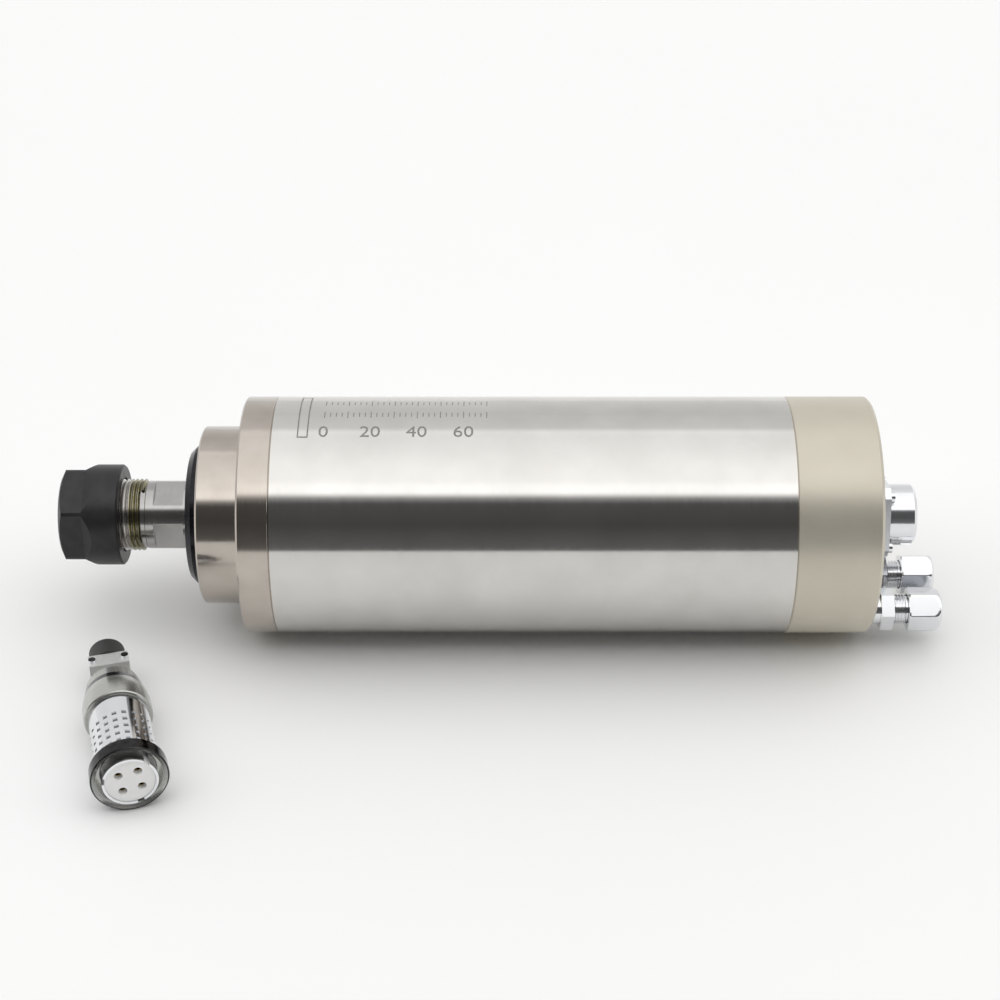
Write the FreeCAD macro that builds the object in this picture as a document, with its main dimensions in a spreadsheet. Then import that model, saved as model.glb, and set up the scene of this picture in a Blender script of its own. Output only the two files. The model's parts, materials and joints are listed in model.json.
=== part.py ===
import FreeCAD, Part
import math
import os
import re

import Sketcher

# Motor spindle for a milling machine: 80 mm round body cooled by water, nose with a collet
# chuck at the front, power socket and two hose fittings at the rear, and its loose cable plug.
# Origin on the spindle axis at the front face of the 80 mm flange. +X runs to the rear,
# +Z is up. The body lies on a table at Z = -body_radius. All lengths are millimetres.

doc = FreeCAD.newDocument("MotorSpindle")
sheet = doc.addObject("Spreadsheet::Sheet", "Sizes")

SIZES = {
    # Clearances
    "fit_gap": 0.03,
    "running_gap": 0.2,
    "taper_gap": 0.12,
    "air_gap": 0.3,
    # Housing along the axis
    "body_radius": 40,
    "flange_length": 10.5,
    "sleeve_length": 170.6,
    "cap_length": 27.7,
    "boss_step": 10,
    "boss_length": 14.5,
    "edge_chamfer": 0.6,
    "sleeve_wall": 2.5,
    "jacket_wall": 5.4,
    "groove_depth": 2.6,
    "groove_width": 10,
    "groove_count": 9,
    "groove_margin": 24,
    "groove_rear_margin": 8.6,
    "seal_section": 0.9,
    "seal_margin": 2.5,
    # Front bearing seat
    "seal_wall": 4,
    "spacer_width": 5,
    "retainer_width": 4,
    "retainer_bore": 19.8,
    "flange_screw_count": 6,
    "retainer_screw_count": 4,
    "small_screw_radius": 1.5,
    "small_head_radius": 2.75,
    "small_head_height": 3,
    "flange_screw_length": 18,
    "retainer_screw_length": 8,
    # Front bearings
    "front_bore": 12.5,
    "front_outer": 23.5,
    "front_width": 12,
    "front_ball": 3,
    "front_ball_count": 11,
    # Rear bearing
    "rear_bore": 8.5,
    "rear_outer": 17.5,
    "rear_width": 10,
    "rear_ball": 2.3,
    "rear_ball_count": 10,
    "race_shoulder": 1.4,
    "cage_half_thickness": 0.9,
    "cage_side_wall": 1.1,
    # Stator and rotor
    "stator_front": 45,
    "stator_rear_margin": 46.1,
    "stator_bore": 16,
    "slot_count": 18,
    "slot_width": 3.4,
    "slot_inner": 17.6,
    "slot_outer": 26.5,
    "slot_mouth": 1.4,
    "winding_overhang": 14,
    "winding_inner": 17.9,
    "winding_outer": 27.2,
    "rotor_bar_count": 14,
    "rotor_bar_radius": 1.4,
    "rotor_bar_circle": 13.6,
    "end_ring_length": 6,
    # Shaft
    "slinger_gap": 0.5,
    "slinger_radius": 23.35,
    "slinger_length": 3.8,
    "slinger_hub": 15,
    "nose_radius": 11.5,
    "neck_length": 2.2,
    "flats_length": 10,
    "flats_across": 20,
    "land_length": 2.6,
    "bare_thread_length": 8.4,
    "thread_core": 11.6,
    "thread_outer": 12.5,
    "shoulder_radius": 15,
    "shoulder_length": 6,
    "rotor_seat": 10.5,
    "tool_passage": 5,
    "taper_run_out": 2,
    "rear_bearing_depth": 21.1,
    "locknut_width": 5,
    "locknut_radius": 12,
    "hook_slot_width": 4,
    "hook_slot_depth": 1.5,
    "shaft_tail": 2,
    # Collet chuck
    "nut_length": 20.2,
    "nut_radius": 17,
    "nut_across": 30,
    "nut_flat_length": 8.2,
    "nut_flat_run": 3.3,
    "nut_chamfer": 1.6,
    "nut_face_radius": 13.8,
    "nut_face_depth": 6.5,
    "nose_gap": 0.5,
    "collet_recess": 0.5,
    "collet_length": 31.5,
    "collet_radius": 10.5,
    "collet_taper": 8,
    "collet_head_radius": 8.5,
    "collet_head_taper": 30,
    "collet_head_length": 2.2,
    "collet_groove_radius": 8.4,
    "collet_groove_width": 3,
    "collet_slits": 6,
    "collet_slit_width": 0.6,
    "collet_slit_reach": 25,
    "tool_radius": 3,
    "extractor_width": 2,
    "extractor_outer": 11.5,
    # Rear end
    "carrier_flange": 8,
    "carrier_spigot": 14,
    "carrier_stop": 2,
    "spring_height": 1.6,
    "spring_thickness": 0.5,
    "cap_wall": 5,
    "cap_end_wall": 8,
    "cap_round": 1,
    "cap_boss_radius": 16,
    "cap_boss_height": 3.9,
    "cap_screw_inset": 6.8,
    "cap_screw_count": 4,
    "cap_screw_radius": 2,
    "cap_head_radius": 3.5,
    "cap_head_height": 4,
    "cap_post_radius": 4.6,
    # Power socket
    "gasket_thickness": 0.7,
    "socket_plate": 2.1,
    "socket_plate_side": 24,
    "socket_plate_corner": 3,
    "socket_radius": 10.4,
    "socket_length": 9.4,
    "socket_bore": 8.9,
    "socket_tail": 9,
    "socket_face_depth": 8.4,
    "socket_screw_square": 17.6,
    "socket_screw_radius": 1.25,
    "socket_screw_depth": 3,
    "socket_head_radius": 1.9,
    "socket_head_height": 1.4,
    "pin_square": 6.1,
    "pin_radius": 1.15,
    "pin_length": 6.8,
    "pin_tail": 4,
    # Water fittings
    "inlet_side": 0.012,
    "inlet_drop": 0.628,
    "outlet_side": 0.46,
    "outlet_drop": 0.655,
    "water_bore": 2.5,
    "port_radius": 4.8,
    "port_boss_radius": 6.8,
    "port_floor": 1,
    "washer_radius": 6.6,
    "washer_thickness": 1,
    "fitting_neck": 5.2,
    "fitting_neck_length": 3.8,
    "fitting_hex": 12.4,
    "fitting_hex_length": 4.3,
    "fitting_thread": 4.6,
    "fitting_thread_length": 8,
    "barb_radius": 2.4,
    "barb_bore": 1.6,
    "barb_length": 7,
    "hose_nut_gap": 5,
    "hose_nut_hex": 13,
    "hose_nut_hex_length": 6,
    "hose_nut_cone": 2,
    "hose_nut_length": 11.3,
    "hose_nut_tip": 5.3,
    "hose_radius": 4,
    "ferrule_length": 3,
    # Loose cable plug
    "plug_x": -28.7,
    "plug_y": -101.5,
    "plug_yaw": 15,
    "ring_radius": 12.2,
    "ring_band": 5,
    "ring_bore": 10.4,
    "ring_floor": 1,
    "ring_grip_radius": 9.8,
    "ring_length": 30.3,
    "shell_lip": 1.6,
    "key_shell_radius": 8.7,
    "key_shell_wall": 0.8,
    "key_shell_proud": 1.5,
    "key_slot_width": 2.2,
    "key_slot_length": 7,
    "insert_recess": 0.4,
    "insert_length": 16,
    "hole_radius": 1.4,
    "contact_recess": 1,
    "contact_tail": 4,
    "contact_depth": 12,
    "plug_shell_radius": 11,
    "plug_shell_straight": 5.5,
    "plug_shell_length": 12,
    "plug_shell_taper": 1.2,
    "plug_shell_wall": 1,
    "plug_collar_radius": 8.8,
    "plug_collar_length": 5.5,
    "plug_neck_radius": 4,
    "plug_neck_length": 11.3,
    "clamp_thickness": 2.2,
    "clamp_width": 6,
    "clamp_span": 13,
    "clamp_screw_circle": 5.3,
    "clamp_screw_radius": 0.8,
    "clamp_head_radius": 1.2,
    "clamp_head_height": 0.8,
    "grommet_radius": 5.9,
    "grommet_length": 8.2,
    "grommet_bore": 3,
}

for row, (name, value) in enumerate(SIZES.items(), 1):
    sheet.set("A%d" % row, name)
    sheet.set("B%d" % row, str(value))
    sheet.setAlias("B%d" % row, name)
doc.recompute()

FUNCTIONS = ("tan", "sqrt", "cos", "sin")


def bound(text):
    """The expression of a size written with the sheet's names."""
    def name(match):
        word = match.group(0)
        return word if word in FUNCTIONS else "Sizes." + word
    return re.sub(r"[a-z_]+", name, text)


def value_of(text):
    return float(sheet.evalExpression(re.sub("Sizes[.]", "", bound(text))))


def bind(item, field, text):
    item.setExpression(field, bound(text))


# Places along the axis, measured from the front face of the flange
BOSS_FRONT = "(-boss_length)"
BEARING_1 = "(-boss_length + seal_wall)"
BEARING_2 = "(-boss_length + seal_wall + front_width + spacer_width)"
BEARING_2_END = "(-boss_length + seal_wall + 2 * front_width + spacer_width)"
SLEEVE_END = "(flange_length + sleeve_length)"
CAP_END = "(flange_length + sleeve_length + cap_length)"
CARRIER_FRONT = "(flange_length + sleeve_length - carrier_flange)"
SLINGER_REAR = "(-boss_length - slinger_gap)"
SLINGER_FRONT = "(-boss_length - slinger_gap - slinger_length)"
FLATS_FRONT = "(-boss_length - slinger_gap - slinger_length - neck_length - flats_length)"
THREAD_REAR = FLATS_FRONT[:-1] + " - land_length)"
NUT_REAR = THREAD_REAR[:-1] + " - bare_thread_length)"
NUT_FRONT = NUT_REAR[:-1] + " - nut_length)"
NOSE_END = "(%s + nut_face_depth)" % NUT_FRONT
COLLET_FRONT = "(%s + collet_recess)" % NUT_FRONT
COLLET_CONE = "(%s + collet_head_length + collet_groove_width)" % COLLET_FRONT
COLLET_REAR = "(%s + collet_length)" % COLLET_FRONT
BOSS_RADIUS = "(body_radius - boss_step)"
STATOR_END = "(flange_length + sleeve_length - stator_rear_margin)"
STATOR_LENGTH = "(flange_length + sleeve_length - stator_rear_margin - stator_front)"
REAR_BEARING_START = "(flange_length + sleeve_length - rear_bearing_depth)"
REAR_BEARING_END = "(flange_length + sleeve_length - rear_bearing_depth + rear_width)"
FLANGE_SCREW_CIRCLE = "(body_radius - boss_step / 2)"
RETAINER_SCREW_CIRCLE = "((body_radius - sleeve_wall - jacket_wall + front_outer) / 2)"
CAP_SCREW_CIRCLE = "(body_radius - cap_screw_inset)"
SLEEVE_BORE = "(body_radius - sleeve_wall)"
JACKET_OUTER = "(body_radius - sleeve_wall - fit_gap)"
JACKET_BORE = "(body_radius - sleeve_wall - fit_gap - jacket_wall)"
SPIGOT = "(body_radius - sleeve_wall - 2 * fit_gap - jacket_wall)"
SOCKET_BASE = "(%s + cap_boss_height)" % CAP_END
PLATE_FRONT = "(%s + gasket_thickness)" % SOCKET_BASE
PLATE_REAR = "(%s + socket_plate)" % PLATE_FRONT
SOCKET_END = "(%s + socket_length)" % PLATE_REAR


# Angles about the axis in degrees, from +Y towards +Z. A corner of the nut and an edge
# between two wrench flats look up and forward, as the spindle lies.
FLANGE_SCREW_ANGLE = 30.0
RETAINER_SCREW_ANGLE = 45.0
CAP_SCREW_ANGLE = 27.0
NOSE_HEX_ANGLE = 25.0
WRENCH_FLAT_ANGLE = 10.0
FRONT_SLIT_ANGLE = 15.0
SOCKET_TURN = -18.0
PLATE_HOLE_ANGLE = 45.0
FITTING_ANGLES = {"inlet": 25.0, "outlet": 44.0}
KEY_ROLL = 42.0
INSERT_ROLL = -7.0


# Building helpers

def origin_item(body, role):
    for item in body.Origin.OriginFeatures:
        if item.Role == role:
            return item
    raise ValueError(role)


def new_body(label):
    body = doc.addObject("PartDesign::Body", label)
    body.Label = label
    body.AllowCompound = True
    return body


def sketch(body, name, points, plane="XZ_Plane"):
    """A closed outline whose corners are bound to expressions of the sizes."""
    drawing = body.newObject("Sketcher::SketchObject", name)
    drawing.AttachmentSupport = [(origin_item(body, plane), "")]
    drawing.MapMode = "FlatFace"
    places = [FreeCAD.Vector(value_of(a), value_of(b), 0) for a, b in points]
    count = len(points)
    for i in range(count):
        drawing.addGeometry(Part.LineSegment(places[i], places[(i + 1) % count]), False)
    for i in range(count):
        drawing.addConstraint(Sketcher.Constraint("Coincident", i, 2, (i + 1) % count, 1))
    for i, corner in enumerate(points):
        for kind, number, text in (("DistanceX", places[i].x, corner[0]),
                                   ("DistanceY", places[i].y, corner[1])):
            if text == "0":
                axis = -2 if kind == "DistanceX" else -1
                drawing.addConstraint(Sketcher.Constraint("PointOnObject", i, 1, axis))
                continue
            index = drawing.addConstraint(Sketcher.Constraint(kind, -1, 1, i, 1, number))
            bind(drawing, "Constraints[%d]" % index, text)
    return drawing


def turned(label, points):
    """A body of revolution about the axis, from (place along X, radius) corners."""
    body = new_body(label)
    feature = body.newObject("PartDesign::Revolution", label + "_turned")
    feature.Profile = sketch(body, label + "_outline", points)
    feature.ReferenceAxis = (origin_item(body, "X_Axis"), [""])
    feature.Angle = 360
    body.Tip = feature
    return body


def turn_more(body, name, points, cut=False):
    kind = "PartDesign::Groove" if cut else "PartDesign::Revolution"
    feature = body.newObject(kind, name)
    feature.Profile = sketch(body, name + "_outline", points)
    feature.ReferenceAxis = (origin_item(body, "X_Axis"), [""])
    feature.Angle = 360
    body.Tip = feature
    return feature


def shape_on_axis(body, kind, name, start, sizes, y="0", z="0", turn=0):
    """A primitive along +X, starting at a place along the axis and off it by y and z."""
    feature = body.newObject("PartDesign::" + kind, name)
    feature.AttachmentSupport = [(origin_item(body, "YZ_Plane"), "")]
    feature.MapMode = "FlatFace"
    feature.AttachmentOffset = FreeCAD.Placement(
        FreeCAD.Vector(), FreeCAD.Rotation(FreeCAD.Vector(0, 0, 1), turn))
    bind(feature, "AttachmentOffset.Base.x", y)
    bind(feature, "AttachmentOffset.Base.y", z)
    bind(feature, "AttachmentOffset.Base.z", start)
    for field, text in sizes.items():
        if isinstance(text, str):
            bind(feature, field, text)
        else:
            setattr(feature, field, text)
    body.Tip = feature
    return feature


def cut_box(body, name, start, sizes, y, z, turn=0.0):
    """A cut along +X whose lower corner (y, z) is turned with it about the axis."""
    box = shape_on_axis(body, "SubtractiveBox", name, start, sizes, turn=turn)
    bind(box, "AttachmentOffset.Base.x", "(%s) * cos(%g) - (%s) * sin(%g)" % (y, turn, z, turn))
    bind(box, "AttachmentOffset.Base.y", "(%s) * sin(%g) + (%s) * cos(%g)" % (y, turn, z, turn))
    return box


def rod(body, name, start, length, radius, y="0", z="0", cut=False):
    kind = "SubtractiveCylinder" if cut else "AdditiveCylinder"
    return shape_on_axis(body, kind, name, start, {"Radius": radius, "Height": length}, y, z)


def hexagon(body, name, start, length, across, y="0", z="0", turn=0):
    sizes = {"Polygon": 6, "Circumradius": "(%s) / sqrt(3)" % across, "Height": length}
    return shape_on_axis(body, "AdditivePrism", name, start, sizes, y, z, turn)


def around(body, feature, count, name):
    """Repeats a feature evenly about the axis."""
    pattern = body.newObject("PartDesign::PolarPattern", name)
    pattern.Originals = [feature]
    pattern.Axis = (origin_item(body, "X_Axis"), [""])
    pattern.Angle = 360
    if isinstance(count, str):
        bind(pattern, "Occurrences", count)
    else:
        pattern.Occurrences = count
    body.Tip = pattern
    return pattern


def hole_circle(body, name, start, length, radius, circle, count, first=0.0):
    """A ring of holes parallel to the axis, the first at an angle from +Y towards +Z."""
    y = "(%s) * cos(%g)" % (circle, first)
    z = "(%s) * sin(%g)" % (circle, first)
    hole = rod(body, name, start, length, radius, y, z, cut=True)
    return around(body, hole, count, name + "_ring")


def turn_body(body, angle):
    """Turns a whole piece about the axis."""
    body.Placement = FreeCAD.Placement(
        FreeCAD.Vector(), FreeCAD.Rotation(FreeCAD.Vector(1, 0, 0), angle))


# Screws

def cap_screws(label, seat, length, circle, count, first, radius, head, height, towards):
    """Socket-head screws in a ring, heads seated at a place along the axis.

    The shanks run from the seat along +X (towards = 1) or -X (towards = -1).
    """
    body = new_body(label)
    y = "(%s) * cos(%g)" % (circle, first)
    z = "(%s) * sin(%g)" % (circle, first)
    root = "0.3 * (%s)" % height
    shank_start = "%s - %s" % (seat, root if towards > 0 else length)
    head_start = "%s - %s" % (seat, height) if towards > 0 else seat
    key_start = head_start if towards > 0 else "%s + 0.4 * %s" % (seat, height)
    shank = rod(body, label + "_shank", shank_start, "%s + %s" % (length, root), radius, y, z)
    around(body, shank, count, label + "_shanks")
    cap = rod(body, label + "_head", head_start, height, head, y, z)
    around(body, cap, count, label + "_heads")
    key = shape_on_axis(body, "SubtractivePrism", label + "_key", key_start,
                        {"Polygon": 6, "Circumradius": "0.55 * (%s)" % head,
                         "Height": "0.6 * (%s)" % height}, y, z)
    around(body, key, count, label + "_keys")
    return body


# Housing

def outer_sleeve():
    return turned("outer_sleeve", [
        ("flange_length", SLEEVE_BORE),
        (SLEEVE_END, SLEEVE_BORE),
        (SLEEVE_END, "body_radius - edge_chamfer / 2"),
        (SLEEVE_END + " - edge_chamfer / 2", "body_radius"),
        ("flange_length + edge_chamfer / 2", "body_radius"),
        ("flange_length", "body_radius - edge_chamfer / 2"),
    ])


def water_jacket():
    body = turned("water_jacket", [
        ("flange_length", JACKET_BORE),
        (CARRIER_FRONT, JACKET_BORE),
        (CARRIER_FRONT, JACKET_OUTER),
        ("flange_length", JACKET_OUTER),
    ])
    floor = JACKET_OUTER + " - groove_depth"
    start = "flange_length + groove_margin"
    channel_span = ("(sleeve_length - carrier_flange - groove_margin - groove_rear_margin"
                    " - groove_width)")
    channel = turn_more(body, "cooling_channel", [
        (start, floor),
        (start + " + groove_width", floor),
        (start + " + groove_width", "body_radius"),
        (start, "body_radius"),
    ], cut=True)
    channels = body.newObject("PartDesign::LinearPattern", "cooling_channels")
    channels.Originals = [channel]
    channels.Direction = (origin_item(body, "X_Axis"), [""])
    bind(channels, "Length", channel_span)
    bind(channels, "Occurrences", "groove_count")
    body.Tip = channels
    for side, sign in (("top", 1), ("bottom", -1)):
        shape_on_axis(body, "SubtractiveBox", "link_channel_" + side, start, {
            "Length": "groove_width", "Width": "2 * groove_depth",
            "Height": channel_span},
            "-groove_width / 2", "%d * (%s) - groove_depth" % (sign, JACKET_OUTER))
    seat = JACKET_OUTER + " - 2 * seal_section + fit_gap"
    for end, place in (("front", "flange_screw_length + seal_margin"),
                       ("rear", CARRIER_FRONT + " - seal_margin - 2 * seal_section")):
        turn_more(body, "seal_groove_" + end, [
            (place, seat),
            (place + " + 2 * seal_section", seat),
            (place + " + 2 * seal_section", "body_radius"),
            (place, "body_radius"),
        ], cut=True)
    hole_circle(body, "front_tapped_hole", "flange_length",
                "flange_screw_length - flange_length + small_screw_radius",
                "small_screw_radius", FLANGE_SCREW_CIRCLE, "flange_screw_count", FLANGE_SCREW_ANGLE)
    return body


def ring_seal(label, place, radius):
    """An O-ring of the seal section, centred at a place along the axis."""
    body = new_body(label)
    shape_on_axis(body, "AdditiveTorus", label + "_section", place,
                  {"Radius1": radius, "Radius2": "seal_section - fit_gap"})
    return body


def jacket_seals():
    for end, place in (("front", "flange_screw_length + seal_margin + seal_section"),
                       ("rear", CARRIER_FRONT + " - seal_margin - seal_section")):
        ring_seal("jacket_seal_" + end, place, SLEEVE_BORE + " - seal_section")


def front_housing():
    """Flange, boss and bearing seat, turned from one bar."""
    body = turned("front_bearing_housing", [
        (BOSS_FRONT, "slinger_hub + 2 * running_gap"),
        (BEARING_1, "slinger_hub + 2 * running_gap"),
        (BEARING_1, "front_outer + fit_gap"),
        (BEARING_2_END, "front_outer + fit_gap"),
        (BEARING_2_END, SPIGOT),
        ("flange_length", SPIGOT),
        ("flange_length", "body_radius - edge_chamfer / 2"),
        ("flange_length - edge_chamfer / 2", "body_radius"),
        ("edge_chamfer", "body_radius"),
        ("0", "body_radius - edge_chamfer"),
        ("0", BOSS_RADIUS),
        (BOSS_FRONT + " + edge_chamfer", BOSS_RADIUS),
        (BOSS_FRONT, BOSS_RADIUS + " - edge_chamfer"),
    ])
    hole_circle(body, "flange_hole", "0", "flange_length", "small_screw_radius + fit_gap",
                FLANGE_SCREW_CIRCLE, "flange_screw_count", FLANGE_SCREW_ANGLE)
    hole_circle(body, "flange_counterbore", "0", "small_head_height",
                "small_head_radius + fit_gap", FLANGE_SCREW_CIRCLE, "flange_screw_count", FLANGE_SCREW_ANGLE)
    hole_circle(body, "retainer_tapped_hole", BEARING_2_END + " - retainer_screw_length",
                "retainer_screw_length", "small_screw_radius + fit_gap",
                RETAINER_SCREW_CIRCLE, "retainer_screw_count", RETAINER_SCREW_ANGLE)
    return body


def front_retainer():
    """Ring that clamps the outer races against the front wall."""
    body = turned("bearing_retainer", [
        (BEARING_2_END, "retainer_bore"),
        (BEARING_2_END + " + retainer_width", "retainer_bore"),
        (BEARING_2_END + " + retainer_width", SPIGOT + " - edge_chamfer"),
        (BEARING_2_END, SPIGOT + " - edge_chamfer"),
    ])
    hole_circle(body, "retainer_hole", BEARING_2_END, "retainer_width",
                "small_screw_radius + fit_gap", RETAINER_SCREW_CIRCLE,
                "retainer_screw_count", RETAINER_SCREW_ANGLE)
    return body


def housing_screws():
    cap_screws("flange_screws", "small_head_height", "flange_screw_length - small_head_height",
               FLANGE_SCREW_CIRCLE, "flange_screw_count", FLANGE_SCREW_ANGLE, "small_screw_radius",
               "small_head_radius", "small_head_height", 1)
    cap_screws("retainer_screws", "(%s + retainer_width)" % BEARING_2_END,
               "retainer_screw_length", RETAINER_SCREW_CIRCLE, "retainer_screw_count", RETAINER_SCREW_ANGLE,
               "small_screw_radius", "small_head_radius", "small_head_height", -1)


# Bearings

def race(label, start, width, near, far, pitch, ball):
    """A bearing ring between two radii, with the ball track rolled into it."""
    body = turned(label, [
        (start, near),
        (start + " + " + width, near),
        (start + " + " + width, far),
        (start, far),
    ])
    shape_on_axis(body, "SubtractiveTorus", label + "_track", start + " + %s / 2" % width,
                  {"Radius1": pitch, "Radius2": ball + " + running_gap"})
    return body


def ball_cage(label, start, width, pitch, ball, count):
    side = "(%s) + cage_side_wall" % ball
    middle = "%s + %s / 2" % (start, width)
    inner = pitch + " - cage_half_thickness"
    outer = pitch + " + cage_half_thickness"
    body = turned(label, [
        (middle + " - %s" % side, inner),
        (middle + " + %s" % side, inner),
        (middle + " + %s" % side, outer),
        (middle + " - %s" % side, outer),
    ])
    pocket = body.newObject("PartDesign::SubtractiveCylinder", label + "_pocket")
    pocket.AttachmentSupport = [(origin_item(body, "XY_Plane"), "")]
    pocket.MapMode = "FlatFace"
    bind(pocket, "AttachmentOffset.Base.x", middle)
    bind(pocket, "Radius", ball + " + running_gap / 2")
    bind(pocket, "Height", pitch + " + " + ball)
    around(body, pocket, count, label + "_pockets")
    return body


def ball_set(label, start, width, pitch, ball, count):
    body = new_body(label)
    first = body.newObject("PartDesign::AdditiveSphere", label + "_ball")
    first.AttachmentSupport = [(origin_item(body, "XY_Plane"), "")]
    first.MapMode = "FlatFace"
    bind(first, "AttachmentOffset.Base.x", "%s + %s / 2" % (start, width))
    bind(first, "AttachmentOffset.Base.z", pitch)
    bind(first, "Radius", ball)
    around(body, first, count, label + "_ring")
    return body


def bearing(name, start, width, bore, outer, ball, count):
    pitch = "(%s + %s) / 2" % (bore, outer)
    race(name + "_outer_race", start, width, pitch + " + race_shoulder", outer, pitch, ball)
    race(name + "_inner_race", start, width, bore + " + fit_gap", pitch + " - race_shoulder",
         pitch, ball)
    ball_cage(name + "_cage", start, width, pitch, ball, count)
    ball_set(name + "_balls", start, width, pitch, ball, count)


def bearings():
    for name, start in (("front_bearing_a", BEARING_1), ("front_bearing_b", BEARING_2)):
        bearing(name, start, "front_width", "front_bore", "front_outer", "front_ball",
                "front_ball_count")
    bearing("rear_bearing", REAR_BEARING_START, "rear_width", "rear_bore", "rear_outer",
            "rear_ball", "rear_ball_count")


def spacers():
    start = BEARING_1 + " + front_width"
    end = start + " + spacer_width"
    pitch = "(front_bore + front_outer) / 2"
    for label, inner, outer in (
            ("outer_spacer", pitch + " + race_shoulder", "front_outer"),
            ("inner_spacer", "front_bore + fit_gap", pitch + " - race_shoulder")):
        turned(label, [(start, inner), (end, inner), (end, outer), (start, outer)])


# Motor

def stator_core():
    body = turned("stator_core", [
        ("stator_front", "stator_bore"),
        (STATOR_END, "stator_bore"),
        (STATOR_END, JACKET_BORE + " - fit_gap"),
        ("stator_front", JACKET_BORE + " - fit_gap"),
    ])
    for name, width, near, far in (
            ("slot", "slot_width", "slot_inner", "slot_outer"),
            ("slot_mouth", "slot_mouth", "stator_bore - slot_mouth", "slot_inner")):
        cut = shape_on_axis(body, "SubtractiveBox", "stator_" + name, "stator_front", {
            "Length": width, "Width": "%s - (%s)" % (far, near), "Height": STATOR_LENGTH},
            "-%s / 2" % width, near)
        around(body, cut, "slot_count", "stator_%s_ring" % name)
    return body


def stator_winding():
    """Copper coils: one side in every slot, turned over at both ends of the core."""
    body = new_body("stator_winding")
    side = shape_on_axis(body, "AdditiveBox", "coil_side", "stator_front - winding_overhang / 2", {
        "Length": "slot_width - running_gap", "Width": "slot_outer - slot_inner - running_gap",
        "Height": STATOR_LENGTH + " + winding_overhang"},
        "-(slot_width - running_gap) / 2", "slot_inner + running_gap / 2")
    around(body, side, "slot_count", "coil_sides")
    corner = "winding_overhang / 4"
    for end, near, far in (
            ("front", "stator_front - running_gap", "stator_front - winding_overhang"),
            ("rear", STATOR_END + " + running_gap", STATOR_END + " + winding_overhang")):
        sign = "+" if end == "front" else "-"
        turn_more(body, end + "_overhang", [
            (near, "winding_inner"),
            (far + " %s %s" % (sign, corner), "winding_inner"),
            (far, "winding_inner + " + corner),
            (far, "winding_outer - " + corner),
            (far + " %s %s" % (sign, corner), "winding_outer"),
            (near, "winding_outer"),
        ])
    return body


def rotor_core():
    body = turned("rotor_core", [
        ("stator_front", "rotor_seat + fit_gap"),
        (STATOR_END, "rotor_seat + fit_gap"),
        (STATOR_END, "stator_bore - air_gap"),
        ("stator_front", "stator_bore - air_gap"),
    ])
    hole_circle(body, "bar_hole", "stator_front", STATOR_LENGTH,
                "rotor_bar_radius + fit_gap", "rotor_bar_circle", "rotor_bar_count")
    return body


def squirrel_cage():
    """Cast bars and the two end rings that join them."""
    inner = "rotor_seat + 2 * fit_gap"
    outer = "stator_bore - 2 * air_gap"
    body = turned("squirrel_cage", [
        ("stator_front - end_ring_length", inner),
        ("stator_front", inner),
        ("stator_front", outer),
        ("stator_front - end_ring_length", outer),
    ])
    turn_more(body, "rear_end_ring", [
        (STATOR_END, inner),
        (STATOR_END + " + end_ring_length", inner),
        (STATOR_END + " + end_ring_length", outer),
        (STATOR_END, outer),
    ])
    bar = rod(body, "rotor_bar", "stator_front", STATOR_LENGTH, "rotor_bar_radius",
              "rotor_bar_circle")
    around(body, bar, "rotor_bar_count", "rotor_bars")
    return body


# Shaft and what it carries

def shaft():
    collet_depth = "(%s - %s)" % (COLLET_REAR, NOSE_END)
    mouth = ("collet_radius + taper_gap - (%s - %s) * tan(collet_taper)"
             % (NOSE_END, COLLET_CONE))
    taper_end = mouth + " - (%s + taper_run_out) * tan(collet_taper)" % collet_depth
    body = turned("shaft", [
        (NOSE_END, mouth),
        (COLLET_REAR + " + taper_run_out", taper_end),
        (COLLET_REAR + " + taper_run_out", "tool_passage"),
        ("stator_front - end_ring_length", "tool_passage"),
        ("stator_front - end_ring_length", "0"),
        (REAR_BEARING_END + " + locknut_width + shaft_tail", "0"),
        (REAR_BEARING_END + " + locknut_width + shaft_tail", "rear_bore - edge_chamfer"),
        (REAR_BEARING_END + " + locknut_width + shaft_tail - edge_chamfer", "rear_bore"),
        (REAR_BEARING_START, "rear_bore"),
        (REAR_BEARING_START, "rotor_seat"),
        (BEARING_2_END + " + shoulder_length", "rotor_seat"),
        (BEARING_2_END + " + shoulder_length", "shoulder_radius"),
        (BEARING_2_END, "shoulder_radius"),
        (BEARING_2_END, "front_bore"),
        (SLINGER_FRONT, "front_bore"),
        (SLINGER_FRONT, "nose_radius"),
        (THREAD_REAR, "nose_radius"),
        (THREAD_REAR + " - (nose_radius + edge_chamfer - thread_core) / 2",
         "thread_core - edge_chamfer / 2"),
        (NOSE_END + " + edge_chamfer", "thread_core - edge_chamfer / 2"),
        (NOSE_END, "thread_core - 3 * edge_chamfer / 2"),
    ])
    flat = cut_box(body, "wrench_flat", FLATS_FRONT, {
        "Length": "2 * nose_radius", "Width": "nose_radius", "Height": "flats_length"},
        "-nose_radius", "flats_across / 2", WRENCH_FLAT_ANGLE)
    around(body, flat, 4, "wrench_flats")
    return body


def dust_slinger():
    """Black disc in front of the boss, with the hub that clamps the inner races."""
    hub_bore = "front_bore + fit_gap"
    return turned("dust_slinger", [
        (SLINGER_FRONT, hub_bore),
        (BEARING_1, hub_bore),
        (BEARING_1, "slinger_hub"),
        (SLINGER_REAR, "slinger_hub"),
        (SLINGER_REAR, "slinger_radius"),
        (SLINGER_FRONT + " + slinger_length / 2", "slinger_radius"),
        (SLINGER_FRONT, "slinger_radius - slinger_length / 2"),
    ])


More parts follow.
